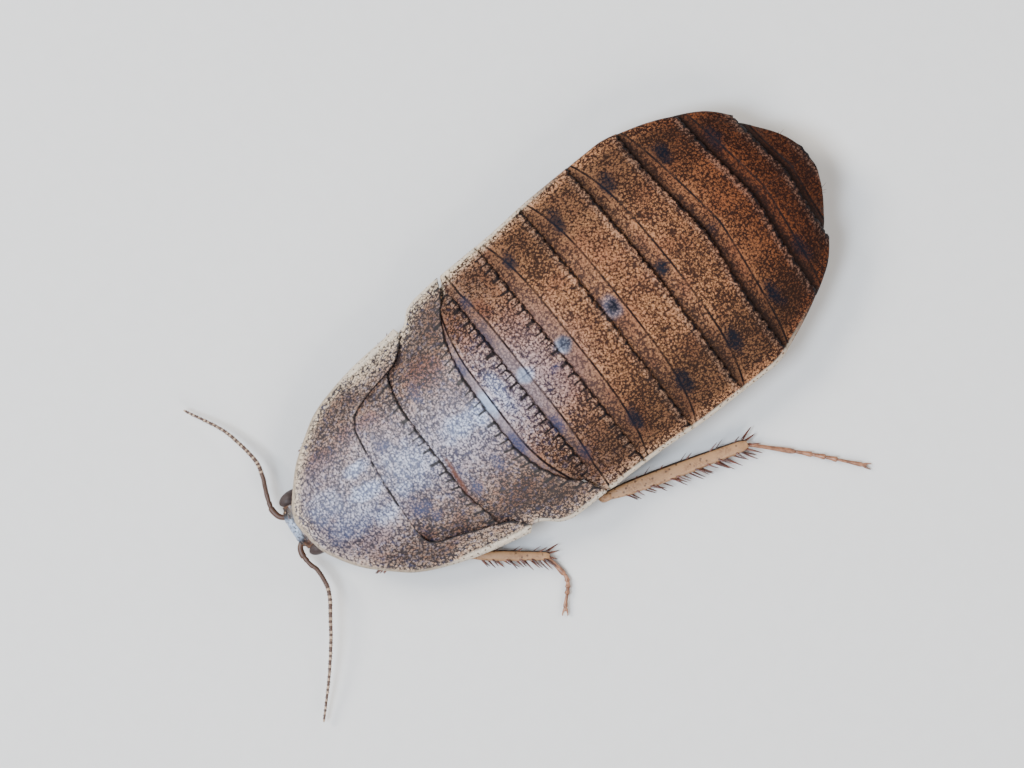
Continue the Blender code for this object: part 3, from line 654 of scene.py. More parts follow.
# A width that leaves a plate without the smooth band and its line
NO_BAND = -1.0
mesonotum_width = curve_through([(4.9, 2.72), (5.5, 3.08), (6.3, 3.28), (7.0, 3.5), (7.7, 3.7)])
mesonotum_front = curve_through([(0.0, 4.62), (0.8, 4.68), (1.0, 4.9)])
mesonotum_rear = curve_through([(0.0, 7.12), (0.5, 7.15), (1.0, 7.6)])
metanotum_front = curve_through([
    (0.0, 7.12), (0.35, 7.13), (0.66, 7.6), (0.72, 7.9), (0.82, 8.7), (0.9, 9.05), (1.0, 9.1),
])
metanotum_rear = curve_through([
    (0.0, 10.07), (0.3, 10.1), (0.5, 10.3), (0.75, 11.0), (0.87, 11.65), (1.0, 12.05),
])
tail_plate_width = curve_through([
    (26.2, 3.4), (26.6, 3.12), (26.9, 2.82), (27.2, 2.42), (27.5, 2.0), (27.8, 1.5), (28.05, 0.95),
    (28.2, 0.45),
])


def metanotum_width(station):
    """Return the metanotum's half width, which is narrower at its front corners."""
    return half_width(station) - 0.3 * smooth_step(9.95, 9.15, station)


def add_back():
    """Build every plate of the back, front to rear."""
    thorax = ("thorax_plate", plate_material("thorax_cuticle", 0.12, 0.3))
    abdomen = ("abdomen_plate", plate_material("abdomen_cuticle", 0.0, 0.09))
    add_shield(thorax)
    add_plate("mesonotum", mesonotum_width, mesonotum_front, mesonotum_rear, NO_BAND, thorax,
              side_tuck=0.7, notched=0.35, skew=0.28)
    add_plate("metanotum", metanotum_width, metanotum_front, metanotum_rear, NO_BAND, thorax,
              notched=0.6, tuck=1.2)
    add_plate("tergite_1", lambda station: half_width(station) * TERGITE_1_SHARE,
              lambda share: metanotum_rear(share * TERGITE_1_SHARE),
              curve_through([(0.0, 11.91), (1.0, 12.0)]), 0.4, abdomen, side_tuck=0.35)
    front = curve_through([(0.0, 11.91), (0.78, 11.98), (0.87, 12.1), (1.0, 12.3)])
    for number, band, edge in TERGITES:
        rear = curve_through(edge)
        add_plate(f"tergite_{number}", half_width, front, rear, band, abdomen)
        front = rear
    add_plate("tergite_10", tail_plate_width, front, lambda share: TAIL_STATION + 0.0 * share, 0.3, abdomen,
              notched=0.0)


def loft_parts(rings):
    """Return vertices and faces of a closed body through rings of points."""
    rings = np.asarray(rings)
    count, sides = rings.shape[:2]
    index = np.arange(count * sides).reshape(count, sides)
    after = np.roll(index, -1, axis=1)
    quads = np.stack((index[:-1], after[:-1], after[1:], index[1:]), -1).reshape(-1, 4).tolist()
    faces = quads + [index[0, ::-1].tolist(), index[-1].tolist()]
    vertices = rings.reshape(-1, 3)
    corners = vertices[np.array(quads)]
    facing = np.cross(corners[:, 1] - corners[:, 0], corners[:, 2] - corners[:, 0])
    if np.sum(facing * (corners.mean(axis=1) - vertices.mean(axis=0))) < 0:
        faces = [face[::-1] for face in faces]
    return vertices, faces


def angles_round(sides):
    """Return the angles of points spaced evenly round a ring."""
    return 2 * np.pi * (np.arange(sides) + 0.5) / sides


def signed_power(value, power):
    """Return values raised to a power, with their signs kept."""
    return np.sign(value) * np.abs(value) ** power


def tube_parts(route, across, deep, sides, count, turned=False, power=2.0):
    """Return a closed tube along a smooth route; across and deep are functions of the share."""
    line = resample(route, count)
    tangent = np.gradient(line, axis=0)
    tangent /= np.linalg.norm(tangent, axis=1, keepdims=True)
    side = np.cross(tangent, [0.0, 0.0, 1.0])
    side /= np.linalg.norm(side, axis=1, keepdims=True)
    up = np.cross(side, tangent)
    share = np.linspace(0, 1, count + 1)
    angle = angles_round(sides)
    wide = signed_power(np.cos(angle), 2 / power)
    tall = signed_power(np.sin(angle), 2 / power)
    ring = line[:, None] + side[:, None] * (across(share)[:, None] * wide)[..., None]
    ring = ring + up[:, None] * (deep(share)[:, None] * tall)[..., None]
    return loft_parts(place(ring[..., 0], ring[..., 1], ring[..., 2], turned))


class Bundle:
    """Several closed bodies gathered into one piece."""

    def __init__(self):
        self.vertices = []
        self.faces = []
        self.values = []

    def add(self, parts, value=0.0):
        """Add one body, with one value for the shader or one at each point."""
        vertices, faces = parts
        start = len(self.vertices)
        self.vertices.extend(np.asarray(vertices).tolist())
        self.faces.extend([[corner + start for corner in face] for face in faces])
        self.values.extend(np.broadcast_to(value, len(vertices)).tolist())

    def finish(self, name, material, slot, *replaced):
        """Make the piece."""
        finish_piece(name, self.vertices, self.faces, material, slot, replaced, {"tone": self.values})

    def dress(self, node, material, slot):
        """Make the piece that takes one node's place."""
        self.finish(f"{node}_skin", material, slot, node)


SPINE_SIDES = 8
SPINE_ROWS = 8


def spine_parts(root, direction, length, radius, bend, turned=False):
    """Return one thin spine that tapers to a point and bends a little."""
    direction = np.array(direction, float)
    direction /= np.linalg.norm(direction)
    route = [root + direction * length * t + np.array(bend) * length * t * t for t in (0, 0.35, 0.7, 1.0)]

    def width(share):
        return radius * np.clip(1.15 - share, 0.0, 1.0) ** 0.7 * np.where(share < 1, 1, 0.3)

    return tube_parts(route, width, width, SPINE_SIDES, SPINE_ROWS, turned)


# Legs: points from body to foot and half sizes (across, deep). Coxae are given for the
# left side. The forelegs lie under the turned front of the body and mirror each other.
# Spines are given as the number in the ragged rows and the greatest length.
COXAE = {
    "hind": ([(2.6, 9.5, 0.66), (1.95, 12.75, 0.6)], (0.92, 0.44)),
    "middle": ([(2.15, 6.75, 0.66), (1.5, 8.4, 0.6)], (0.64, 0.42)),
    "fore": ([(2.1, 3.4, 0.56), (1.35, 4.8, 0.5)], (0.55, 0.32)),
}
LEGS = {
    "hind_left": {
        "femur": ([(2.1, 13.6, 0.55), (6.0, 11.93, 0.6)], (0.56, 0.42)),
        "tibia": ([(6.2, 11.75, 0.62), (8.3, 18.25, 0.4)], (0.35, 0.25)),
        "tarsus": [(8.25, 18.15, 0.34), (10.4, 20.15, 0.2), (12.25, 21.7, 0.2)],
        "spines": (34, 0.9),
    },
    "hind_right": {
        "femur": ([(-2.1, 13.6, 0.55), (-4.95, 11.55, 0.6)], (0.56, 0.42)),
        "tibia": ([(-5.2, 11.2, 0.6), (-5.28, 17.85, 0.4)], (0.31, 0.24)),
        "tarsus": [(-5.28, 17.75, 0.34), (-5.15, 20.6, 0.2), (-4.9, 23.1, 0.2)],
        "spines": (32, 0.8),
    },
    "middle_left": {
        "femur": ([(2.1, 9.15, 0.5), (4.3, 5.85, 0.55)], (0.45, 0.36)),
        "tibia": ([(4.5, 5.5, 0.56), (6.75, 8.3, 0.4)], (0.25, 0.22)),
        "tarsus": [(6.7, 8.2, 0.34), (7.85, 8.3, 0.2), (9.0, 7.4, 0.2)],
        "spines": (20, 0.75),
    },
    "middle_right": {
        "femur": ([(-2.1, 9.15, 0.5), (-4.1, 5.95, 0.55)], (0.45, 0.36)),
        "tibia": ([(-4.42, 5.5, 0.56), (-4.92, 8.65, 0.4)], (0.23, 0.22)),
        "tarsus": [(-4.93, 8.6, 0.34), (-5.0, 9.6, 0.2), (-5.05, 10.4, 0.2)],
        "spines": (18, 0.6),
    },
}
for leg_name, sign in (("fore_left", 1), ("fore_right", -1)):
    LEGS[leg_name] = {
        "femur": ([(1.75 * sign, 5.35, 0.5), (3.45 * sign, 3.85, 0.52)], (0.4, 0.32)),
        "tibia": ([(3.7 * sign, 4.05, 0.5), (3.0 * sign, 2.35, 0.38)], (0.21, 0.2)),
        "tarsus": [(3.0 * sign, 2.4, 0.32), (2.65 * sign, 1.95, 0.2), (2.25 * sign, 1.8, 0.2)],
        "spines": (12, 0.42),
    }
# Swell of each kind of segment along its length
coxa_swell = curve_through([(0.0, 0.45), (0.1, 0.85), (0.3, 1.0), (0.7, 0.72), (0.94, 0.46), (1.0, 0.25)])
femur_swell = curve_through([(0.0, 0.25), (0.06, 0.6), (0.35, 1.0), (0.75, 0.8), (0.93, 0.62), (1.0, 0.3)])
tibia_swell = curve_through([
    (0.0, 0.3), (0.04, 0.6), (0.2, 0.92), (0.45, 1.0), (0.75, 0.9), (0.94, 0.82), (1.0, 0.5),
])
joint_swell = curve_through([(0.0, 0.35), (0.2, 0.85), (0.5, 1.0), (0.8, 0.85), (1.0, 0.35)])
knee_swell = curve_through([(0.0, 0.4), (0.12, 0.78), (0.4, 0.95), (0.55, 0.92), (0.8, 0.9), (1.0, 0.4)])
foot_swell = curve_through([(0.0, 0.35), (0.08, 0.62), (0.5, 0.78), (0.9, 1.05), (1.0, 0.5)])
# Foot segments: start and end along the foot
FOOT_SEGMENTS = [(0.0, 0.42), (0.42, 0.56), (0.56, 0.67), (0.67, 0.77), (0.77, 1.0)]
FOOT_HALF = 0.125
FOOT_STEPS = 200
CLAW_LENGTH = 0.36
SPINE_RADIUS = 0.052
BACK_SPINE_RADIUS = 0.045
BRISTLE_RADIUS = 0.022
SPUR_RADIUS = 0.06
SPINE_GROUPS = 5
LIMB_SIDES = 20
TIBIA_ROWS = 90


def sided(points, side):
    """Return points of the left side on one side: 1 for the left and -1 for the right."""
    return [np.array((side * x, y, z)) for x, y, z in points]


def limb(points, swell, sizes, turned, rows=40, power=2.2, sides=LIMB_SIDES):
    """Return one swelling limb segment."""
    wide, deep = sizes
    return tube_parts(points, lambda share: wide * swell(share), lambda share: deep * swell(share),
                      sides, rows, turned, power)


def unit(vector):
    """Return a vector of length 1."""
    return vector / np.linalg.norm(vector)


def upward(height):
    """Return a step straight up."""
    return np.array((0, 0, height))


def add_tibia_spines(bundle, leg, outward, turned):
    """Add the two ragged rows of spines, the loose long ones and the end spurs."""
    start, end = (np.array(point) for point in leg["tibia"][0])
    along = unit(end - start)
    out = unit(np.cross(along, (0, 0, 1))) * outward
    width = leg["tibia"][1][0]
    run = along * np.linalg.norm(end - start)
    count, longest = leg["spines"]
    picks = np.random.default_rng(41)
    for number in range(count):
        even = number / (count - 1)
        share = 0.14 + 0.8 * even - 0.022 * math.sin(2 * math.pi * even * SPINE_GROUPS)
        share = share + picks.uniform(-0.008, 0.008)
        low = (-0.42, 0.1, -0.14, 0.3)[number % 4]
        direction = out * picks.uniform(0.7, 1.15) + along * picks.uniform(0.7, 1.15)
        direction = direction + upward(low + picks.uniform(-0.1, 0.1))
        root = start + run * share + out * width * (0.66 - 0.5 * abs(low)) + upward(low * 0.4)
        length = longest * picks.uniform(0.6, 1.0) * min(1.0, 0.6 + share)
        bundle.add(spine_parts(root, direction, length, SPINE_RADIUS, along * 0.12, turned))
        if number % 7 == 3:
            root = start + run * share - out * width * 0.5 + upward(0.08)
            direction = along * 1.3 - out * 0.9 + upward(0.35)
            bundle.add(spine_parts(root, direction, length * 0.7, BACK_SPINE_RADIUS, along * 0.1, turned))
    for share in (0.3, 0.55, 0.8):
        root = start + run * share - out * width * 0.85
        bundle.add(spine_parts(root, along - out * 0.75, 0.5 * longest, BRISTLE_RADIUS, along * 0.08,
                               turned))
    for turn in (-1.0, -0.45, 0.2, 0.8):
        direction = along + out * turn * 0.75 + upward(-0.05 - 0.1 * abs(turn))
        root = end - along * 0.16 + out * turn * width * 0.7
        length = longest * picks.uniform(0.7, 0.9)
        bundle.add(spine_parts(root, direction, length, SPUR_RADIUS, out * 0.05, turned))


def add_foot(bundle, leg, turned):
    """Add the five foot segments with their pads, and the two claws."""
    line = resample(leg["tarsus"], FOOT_STEPS)
    for number, (start, end) in enumerate(FOOT_SEGMENTS):
        steps = np.linspace(start * FOOT_STEPS, min(end * FOOT_STEPS + 2, FOOT_STEPS), 5)
        points = line[steps.astype(int)]
        half = FOOT_HALF * (1.0 if number < 4 else 0.8)
        bundle.add(limb(points, foot_swell, (half, half), turned, 16, 2.0), number / 5)
        if number < 4:
            pad = points[-1] - (points[-1] - points[0]) * 0.12 + upward(-half * 0.75)
            run = unit(points[-1] - points[0]) * 0.09
            bundle.add(limb([pad - run, pad, pad + run], joint_swell, (0.09, 0.06), turned, 8), 0.9)
    tip = line[-1]
    along = unit(tip - line[-12])
    out = unit(np.cross(along, (0, 0, 1)))
    for side in (-1, 1):
        bend = along * 0.35 - out * side * 0.25 + upward(-0.3)
        direction = along + out * side * 0.75 + upward(0.12)
        bundle.add(spine_parts(tip - along * 0.06, direction, CLAW_LENGTH, SPUR_RADIUS, bend, turned), 1.0)
    cushion = [tip + along * step for step in (-0.05, 0.05, 0.13)]
    bundle.add(limb(cushion, joint_swell, (0.075, 0.05), turned, 8), 0.9)


def add_coxa(bundle, pair, to_left, femur_root, femur_half, turned):
    """Add a leg's broad first segment, the keel along it and the small joint at its end."""
    points, (wide, deep) = COXAE[pair]
    hip, end = sided(points, to_left)
    socket = hip + (0.35 * to_left, -0.4, 0.22)
    bow = (hip + end) / 2 + (0.14 * to_left, 0, 0.02)
    bundle.add(limb([socket, bow, end], coxa_swell, (wide, deep * 0.86), turned, 64, 2.9), 0.6)
    keel = [socket * (1 - step) + end * step + (0.5 * wide * to_left, 0, -deep * 0.45)
            for step in (0.2, 0.5, 0.8)]
    bundle.add(limb(keel, joint_swell, (0.09, 0.07), turned, 24))
    trochanter = [end + (femur_root - end) * step for step in (-0.15, 0.5, 1.25)]
    half = femur_half * 0.62
    bundle.add(limb(trochanter, joint_swell, (half, half * 0.8), turned, 20), 0.3)


def add_legs():
    """Build the six legs."""
    shin = leg_material("shin_cuticle", (0.13, 0.052, 0.02), (0.33, 0.175, 0.078))
    thigh = leg_material("thigh_cuticle", (0.05, 0.02, 0.009), (0.15, 0.065, 0.03))
    horn = simple_cuticle("spine_horn", (0.025, 0.007, 0.004), (0.13, 0.032, 0.014), 0.34, 0.5, 0.25)
    foot = simple_cuticle("foot_cuticle", (0.12, 0.045, 0.022), (0.34, 0.15, 0.075), 0.4, 0.3, 0.2, 0.012,
                          specks=0.5)
    around = angles_round(LIMB_SIDES)
    for name, leg in LEGS.items():
        pair, side = name.split("_")
        turned = pair == "fore"
        to_left = 1.0 if side == "left" else -1.0
        outward = to_left if turned else -to_left
        (femur_root, femur_end), femur_sizes = leg["femur"]
        femur_root = np.array(femur_root)
        femur_end = np.array(femur_end)
        knee_front, ankle = (np.array(point) for point in leg["tibia"][0])
        coxa, femur, tibia, spines, foot_bundle = (Bundle() for _ in range(5))
        add_coxa(coxa, pair, to_left, femur_root, femur_sizes[0], turned)
        coxa.dress(f"coxa_{name}", thigh, "leg")
        femur.add(limb([femur_root, femur_end], femur_swell, femur_sizes, turned, 48, 2.3))
        femur.dress(f"femur_{name}", thigh, "leg")
        knee = [femur_end - unit(femur_end - femur_root) * 0.12, knee_front,
                knee_front + unit(ankle - knee_front) * 0.42]
        half = leg["tibia"][1][0]
        tibia.add(limb(knee, knee_swell, (half * 0.68, half * 0.78), turned, 30), 0.9)
        # A tone of 1.4 marks the painted shadow along the shin's inner side
        inner = np.where(np.cos(around) * outward > 0.7, 1.4, 0.0)
        tibia.add(limb([knee_front, ankle], tibia_swell, leg["tibia"][1], turned, TIBIA_ROWS, 2.6),
                  np.tile(inner, TIBIA_ROWS + 1))
        tibia.dress(f"tibia_{name}", shin, "leg")
        add_tibia_spines(spines, leg, -outward, turned)
        spines.finish(f"tibia_{name}_spines", horn, "leg")
        add_foot(foot_bundle, leg, turned)
        foot_bundle.dress(f"tarsus_{name}", foot, "foot")


def leg_material(name, dark, light):
    """Return dull mottled cuticle with small dark dots, as on the shins and thighs."""
    s = Surface(name, roughness=0.48, coat=0.08, coat_roughness=0.3)
    fine = s.noise(0.09, 2.0, 0.6)
    dots = s.cells(0.21).step(0.3, 0.2)
    colour = s.paint(
        dark, (s.noise(0.7, 3.0, 0.6).step(0.25, 0.65), light), (fine.step(0.35, 0.7), light),
        (dots * 0.75, tuple(value * 0.35 for value in dark)),
        # Painted shadow where the tone is high, along a shin's inner side
        (s.layer("tone").step(0.95, 1.4), tuple(value * 0.2 for value in dark)),
    )
    s.bump(fine + dots * -0.5, 0.025, 0.7)
    return s.finish(colour)


# Feelers: the routes of base and whip, given after the turn of the front
FEELERS = {
    "left": (
        [(-0.6, 0.15, 1.0), (-0.3, -0.16, 0.98), (0.0, -0.24, 0.97), (0.3, -0.24, 0.97), (0.64, -0.2, 0.98)],
        [(0.55, -0.21, 0.98), (0.85, -0.13, 1.0), (1.55, -0.2, 1.05), (3.1, -1.15, 1.1),
         (4.6, -2.4, 0.85), (6.3, -4.1, 0.4)],
    ),
    "right": (
        [(-1.75, 0.26, 1.0), (-2.1, -0.02, 0.98), (-2.42, -0.06, 0.97), (-2.75, 0.02, 0.97),
         (-3.2, 0.2, 0.98)],
        [(-3.14, 0.17, 0.98), (-3.4, 0.3, 1.0), (-3.85, 0.52, 1.05), (-4.6, 0.72, 1.1),
         (-6.1, 0.55, 0.85), (-8.4, -0.4, 0.4)],
    ),
}
# Base joints: the first of the route's steps, the one after the last, and half size
FEELER_BASE_STEPS = 60
FEELER_BASE_JOINTS = [(0, 37, 0.145), (33, 46, 0.12), (43, 60, 0.112)]
scape_swell = curve_through([(0.0, 0.55), (0.08, 0.8), (0.5, 0.94), (0.9, 1.0), (0.98, 0.8), (1.0, 0.5)])
RING_COUNT = 62
RING_ROWS = 6
RING_SIDES = 12
FEELER_ROOT = 0.105
FEELER_TIP = 0.05


def add_feelers():
    """Build both feelers: the base joints and a whip of many short rings."""
    s = Surface("feeler_cuticle")
    fine = s.noise(0.05)
    dark = s.mix(fine, (0.03, 0.013, 0.008), (0.09, 0.04, 0.022))
    pale = s.mix(fine, (0.3, 0.19, 0.12), (0.48, 0.36, 0.25))
    s.bump(fine, 0.008, 0.5)
    shaft = s.finish(s.mix(s.layer("tone").step(0.55, 0.75), dark, pale))
    count = RING_COUNT * RING_ROWS
    share = np.linspace(0, 1, count + 1)
    bulge = 0.86 + 0.22 * np.sqrt(np.clip(np.sin(np.pi * ((share * RING_COUNT) % 1.0)), 0, 1))
    radius = (FEELER_ROOT + (FEELER_TIP - FEELER_ROOT) * share) * bulge * smooth_step(1.02, 0.985, share)
    radius = np.maximum(radius, 0.008)
    tone = 0.5 + 0.5 * np.sin(np.floor(share * RING_COUNT) * 2.4) * smooth_step(0.05, 0.3, share)
    for side, (base_route, route) in FEELERS.items():
        base, whip = Bundle(), Bundle()
        base_line = resample(base_route, FEELER_BASE_STEPS)
        for joint, (start, end, half) in enumerate(FEELER_BASE_JOINTS):
            base.add(limb(base_line[start:end:4], scape_swell, (half, half), False, 24, 2.0), 0.25 * joint)
        base.dress(f"antenna_base_{side}", shaft, "feeler")
        whip.add(tube_parts(route, lambda _: radius, lambda _: radius, RING_SIDES, count),
                 np.repeat(tone, RING_SIDES))
        bristles = np.random.default_rng(7)
        line = resample(route, RING_COUNT)
        for number in range(1, RING_COUNT - 1):
            along = unit(line[number + 1] - line[number - 1])
            side_way = unit(np.cross(along, (0, 0, 1)))
            half = FEELER_ROOT + (FEELER_TIP - FEELER_ROOT) * number / RING_COUNT
            for turn in bristles.uniform(0, 2 * np.pi, 3):
                out = side_way * math.cos(turn) + np.cross(side_way, along) * math.sin(turn)
                root = line[number] + out * half * 0.8
                whip.add(spine_parts(root, out + along * 1.6, 0.09, 0.01, along * 0.2), 0.3)
        whip.dress(f"antenna_{side}", shaft, "feeler")


# Head: station, half width, lowest and highest height. It is shifted a little to its right.
HEAD_SHIFT = (-0.35, 0.0, 0.0)
HEAD_SECTIONS = [
    (-0.05, 0.2, 1.12, 1.26), (0.0, 0.5, 0.98, 1.36), (0.12, 0.86, 0.82, 1.44), (0.34, 1.18, 0.68, 1.52),
    (0.6, 1.38, 0.58, 1.6), (1.1, 1.46, 0.52, 1.76), (1.6, 1.38, 0.48, 1.9), (2.0, 1.2, 0.48, 1.95),
    (2.4, 0.95, 0.52, 1.92), (2.75, 0.62, 0.72, 1.7), (2.85, 0.3, 0.95, 1.4),
]
HEAD_SIDES = 200
HEAD_ROWS = 220
EYE_CENTRE = (1.23, 0.74, 1.12)
EYE_SIZES = (0.34, 0.6, 0.47)
SOCKET_CENTRE = (0.6, 0.06, 1.03)
SOCKET_RADIUS = 0.2
HEAD_HAIRS = 130
HAIR_RADIUS = 0.009
# A tone below minus this number marks the painted bluish-white reflection at the front of the head; the lower
# it is, the stronger the reflection
SHEEN_TONE = 2.0
# Mouthparts and simple eye, as on the left side
jaw_swell = curve_through([(0, 0.5), (0.3, 1.0), (0.8, 0.6), (1, 0.1)])
club_swell = curve_through([(0.0, 0.45), (0.1, 0.62), (0.6, 0.86), (0.88, 1.0), (0.97, 0.8), (1.0, 0.45)])
JAW = [(0.82, 1.75, 0.56), (0.62, 2.15, 0.47), (0.2, 2.52, 0.46)]
LOBE = [(0.85, 2.1, 0.62), (0.68, 2.42, 0.55), (0.42, 2.72, 0.55)]
LABIAL_PALP = [(0.3, 2.62, 0.62), (0.42, 2.72, 0.42), (0.56, 2.5, 0.33), (0.6, 2.2, 0.3)]
SIMPLE_EYE = [(0.76, 0.16, 1.3), (0.82, 0.2, 1.3), (0.88, 0.25, 1.29)]
PALP_ROUTE = [(0.92, 2.35, 0.5), (1.05, 2.0, 0.34), (1.2, 1.6, 0.28), (1.26, 1.15, 0.3), (1.12, 0.7, 0.36)]
# Palp joints: start and end along the palp
PALP_JOINTS = [(0.0, 0.12), (0.12, 0.26), (0.26, 0.52), (0.52, 0.76), (0.76, 1.0)]
SIDES = ((1, "left"), (-1, "right"))


def head_point(across, station, height):
    """Return a place on the head, shifted and turned with the shield."""
    return place(np.asarray(across) + HEAD_SHIFT[0], station, height)


def head_limb(points, sizes, swell, rows=16):
    """Return a small limb segment placed on the head."""
    return limb([np.array(point) + HEAD_SHIFT for point in points], swell, sizes, True, rows, 2.0, 16)


def head_relief(across, station, height, face, crown):
    """Return how far the head's surface rises or sinks, and its tone, at points of it."""
    away = np.abs(across)
    spot = (away, station, height)
    eye = np.sqrt(sum(((point - centre) / size) ** 2
                      for point, centre, size in zip(spot, EYE_CENTRE, EYE_SIZES)))
    socket = np.sqrt(sum((point - centre) ** 2 for point, centre in zip(spot, SOCKET_CENTRE)))
    orbit = bell(eye, 1.16, 0.07)
    collar = bell(socket, SOCKET_RADIUS + 0.03, 0.045)
    pocket = smooth_step(SOCKET_RADIUS, 0.1, socket)
    seam = bell(across, 0.0, 0.022) * crown * smooth_step(0.3, 0.5, station)
    fork = bell(away - 0.85 * (0.42 - station), 0.0, 0.025) * smooth_step(0.44, 0.4, station) * (away < 0.5)
    clypeus = bell(station, 1.42 + 0.12 * (away / 0.7) ** 2, 0.04) * smooth_step(0.95, 0.8, away) * face
    cheek = bell(away, 0.86 - 0.12 * (station - 1.4), 0.045) * smooth_step(1.2, 1.5, station) * face
    brow = bell(station, 0.62 + 0.35 * away, 0.05) * smooth_step(0.75, 0.55, away) * face
    cheekbone = 0.03 * bell(away, 1.0, 0.2) * bell(station, 0.3, 0.2)
    frons = bell(station, 0.95, 0.35) * bell(away, 0.0, 0.5) * face
    folds = 0.016 * (soft_noise(across, station * 0.6, 0.16, 51) - 0.5) * crown
    pits = 0.012 * granules(across, station, 0.075, 31) + 0.006 * granules(across, station, 0.035, 33)
    cuts = 0.016 * seam + 0.014 * fork + 0.045 * clypeus + 0.045 * cheek + 0.03 * brow + 0.05 * pocket
    raised = 0.04 * orbit + 0.05 * collar + cheekbone + 0.05 * frons + folds + pits - cuts
    stripe = 0.35 * bell(away, 0.34, 0.1) * crown * smooth_step(0.35, 0.7, station)
    tone = 0.3 * face + 0.45 * orbit + 0.55 * collar + 0.9 * pocket + 0.35 * frons + stripe
    tone = np.clip(tone - 1.1 * np.clip(seam + fork + clypeus + cheek + brow, 0, 1), -1, 1)
    # Painted bluish-white reflection on the top front of the head, stored as a low tone
    front_sheen = smooth_step(0.42, 0.16, station + 0.1 * away) * smooth_step(-0.3, 0.4, crown)
    front_sheen = front_sheen * smooth_step(0.8, 0.2, away)
    front_sheen = front_sheen * smooth_step(0.25, 0.5, soft_noise(across, station, 0.12, 61) + 0.5 * front_sheen)
    return raised, np.where(front_sheen > 0.04, -SHEEN_TONE - front_sheen, tone)


def face_plate_parts(front, rear, front_half, rear_half, height, thickness):
    """Return a rounded face plate that hangs under the head."""
    side, share = grid(36, 24)
    half = front_half + (rear_half - front_half) * share
    station = front + (rear - 0.12 * side ** 2 * (rear - front) - front) * share
    edge = np.minimum((1 - np.abs(side)) * half, (1 - share) * (rear - front))
    closing = rounding(edge, thickness / 2)
    curl = height + 0.16 * side ** 2
    return shell_parts(side * half + HEAD_SHIFT[0], station, curl + thickness - closing,
                       curl + 0.12 * (share - 0.4) ** 2 + closing)


def add_head():
    """Build the head capsule with its face, mouthparts and simple eyes."""
    table = np.array(HEAD_SECTIONS)
    run = np.concatenate(([0], np.cumsum(np.hypot(np.diff(table[:, 0]), np.diff(table[:, 1])))))
    share = np.linspace(0, run[-1], HEAD_ROWS + 1)
    station, half, low, high = (curve_through(list(zip(run, column)))(share)[:, None] for column in table.T)
    angle = angles_round(HEAD_SIDES)[None, :]
    x_unit = signed_power(np.cos(angle), 0.86)
    z_unit = signed_power(np.sin(angle), 0.9)
    across = half * x_unit
    height = (low + high) / 2 + (high - low) / 2 * z_unit
    station = station + 0 * angle
    face = smooth_step(0.2, -0.5, z_unit)
    crown = smooth_step(0.1, 0.5, z_unit) + 0 * station
    raised, tone = head_relief(across, station, height, face, crown)
    front = smooth_step(0.35, -0.05, station)
    outward = np.stack((x_unit + 0 * station, -1.6 * front, (z_unit + 0 * station) * (1 - 0.5 * front)), -1)
    outward /= np.linalg.norm(outward, axis=-1, keepdims=True)
    points = np.stack((across, station, height), -1) + outward * raised[..., None]
    head, spots = Bundle(), Bundle()
    head.add(loft_parts(head_point(points[..., 0], points[..., 1], points[..., 2])), tone.ravel())
    head.add(face_plate_parts(1.5, 2.12, 0.62, 0.5, 0.47, 0.1), 0.5)
    head.add(face_plate_parts(2.08, 2.5, 0.5, 0.34, 0.43, 0.09), 0.95)
    for side in (-1, 1):
        head.add(head_limb(sided(JAW, side), (0.2, 0.1), jaw_swell), -0.6)
        head.add(head_limb(sided(LOBE, side), (0.17, 0.12), joint_swell), 0.3)
        line = resample(sided(LABIAL_PALP, side), 30)
        for start in (0, 10, 20):
            head.add(head_limb(line[start:start + 11:5], (0.085, 0.08), club_swell), 0.7)
        spots.add(head_limb(sided(SIMPLE_EYE, side), (0.06, 0.055), joint_swell, 24), 1.0)
    picks = np.random.default_rng(73)
    for _ in range(HEAD_HAIRS):
        spot = (picks.integers(12, HEAD_ROWS - 30), picks.integers(0, HEAD_SIDES))
        root = points[spot] + HEAD_SHIFT - outward[spot] * 0.01
        way = outward[spot] + (0.0, 0.9, 0.0)
        head.add(spine_parts(root, way, picks.uniform(0.08, 0.16), HAIR_RADIUS, (0.0, 0.25, 0.0), True), 0.8)
    head.finish("head_capsule", head_material(), "head", "head")
    window = simple_cuticle("simple_eye", (0.36, 0.2, 0.09), (0.55, 0.36, 0.18), 0.2, 0.1, 0.6)
    spots.finish("head_simple_eyes", window, "head")


def head_material():
    """Return the dark polished cuticle of the head, lighter at the mouth, with a painted bluish-white
    reflection at the front.
    """
    s = Surface("head_cuticle", roughness=0.3, coat=0.22, coat_roughness=0.16)
    tone = s.layer("tone")
    broad = s.noise(0.42, 4.0, 0.65)
    fine = s.noise(0.04)
    # Painted bluish-white reflection at the front of the head, where the tone is low
    front_sheen = tone.step(-SHEEN_TONE, -SHEEN_TONE - 0.9) * s.noise(0.09, 3.0, 0.6).step(0.25, 0.6)
    colour = s.paint(
        (0.012, 0.006, 0.005), (broad.step(0.38, 0.66), (0.085, 0.036, 0.018)),
        (s.cells(0.11).step(0.32, 0.2) * 0.5, (0.008, 0.004, 0.003)),
        (tone.step(0.15, 0.9), s.mix(fine, (0.17, 0.075, 0.035), (0.34, 0.18, 0.095))),
        (tone.step(-0.1, -0.8), (0.006, 0.003, 0.003)), (front_sheen * 0.72, (0.42, 0.5, 0.66)),
    )
    s.bump(broad + fine * 0.7, 0.012, 0.6)
    return s.finish(colour, fine * 0.2 + 0.2)


EYE_COLUMNS = 180
EYE_ROWS = 100
FACET_PITCH = 0.05
# Rows of facets lie closer together than the facets of a row, as in a honeycomb
FACET_ROW = 0.866


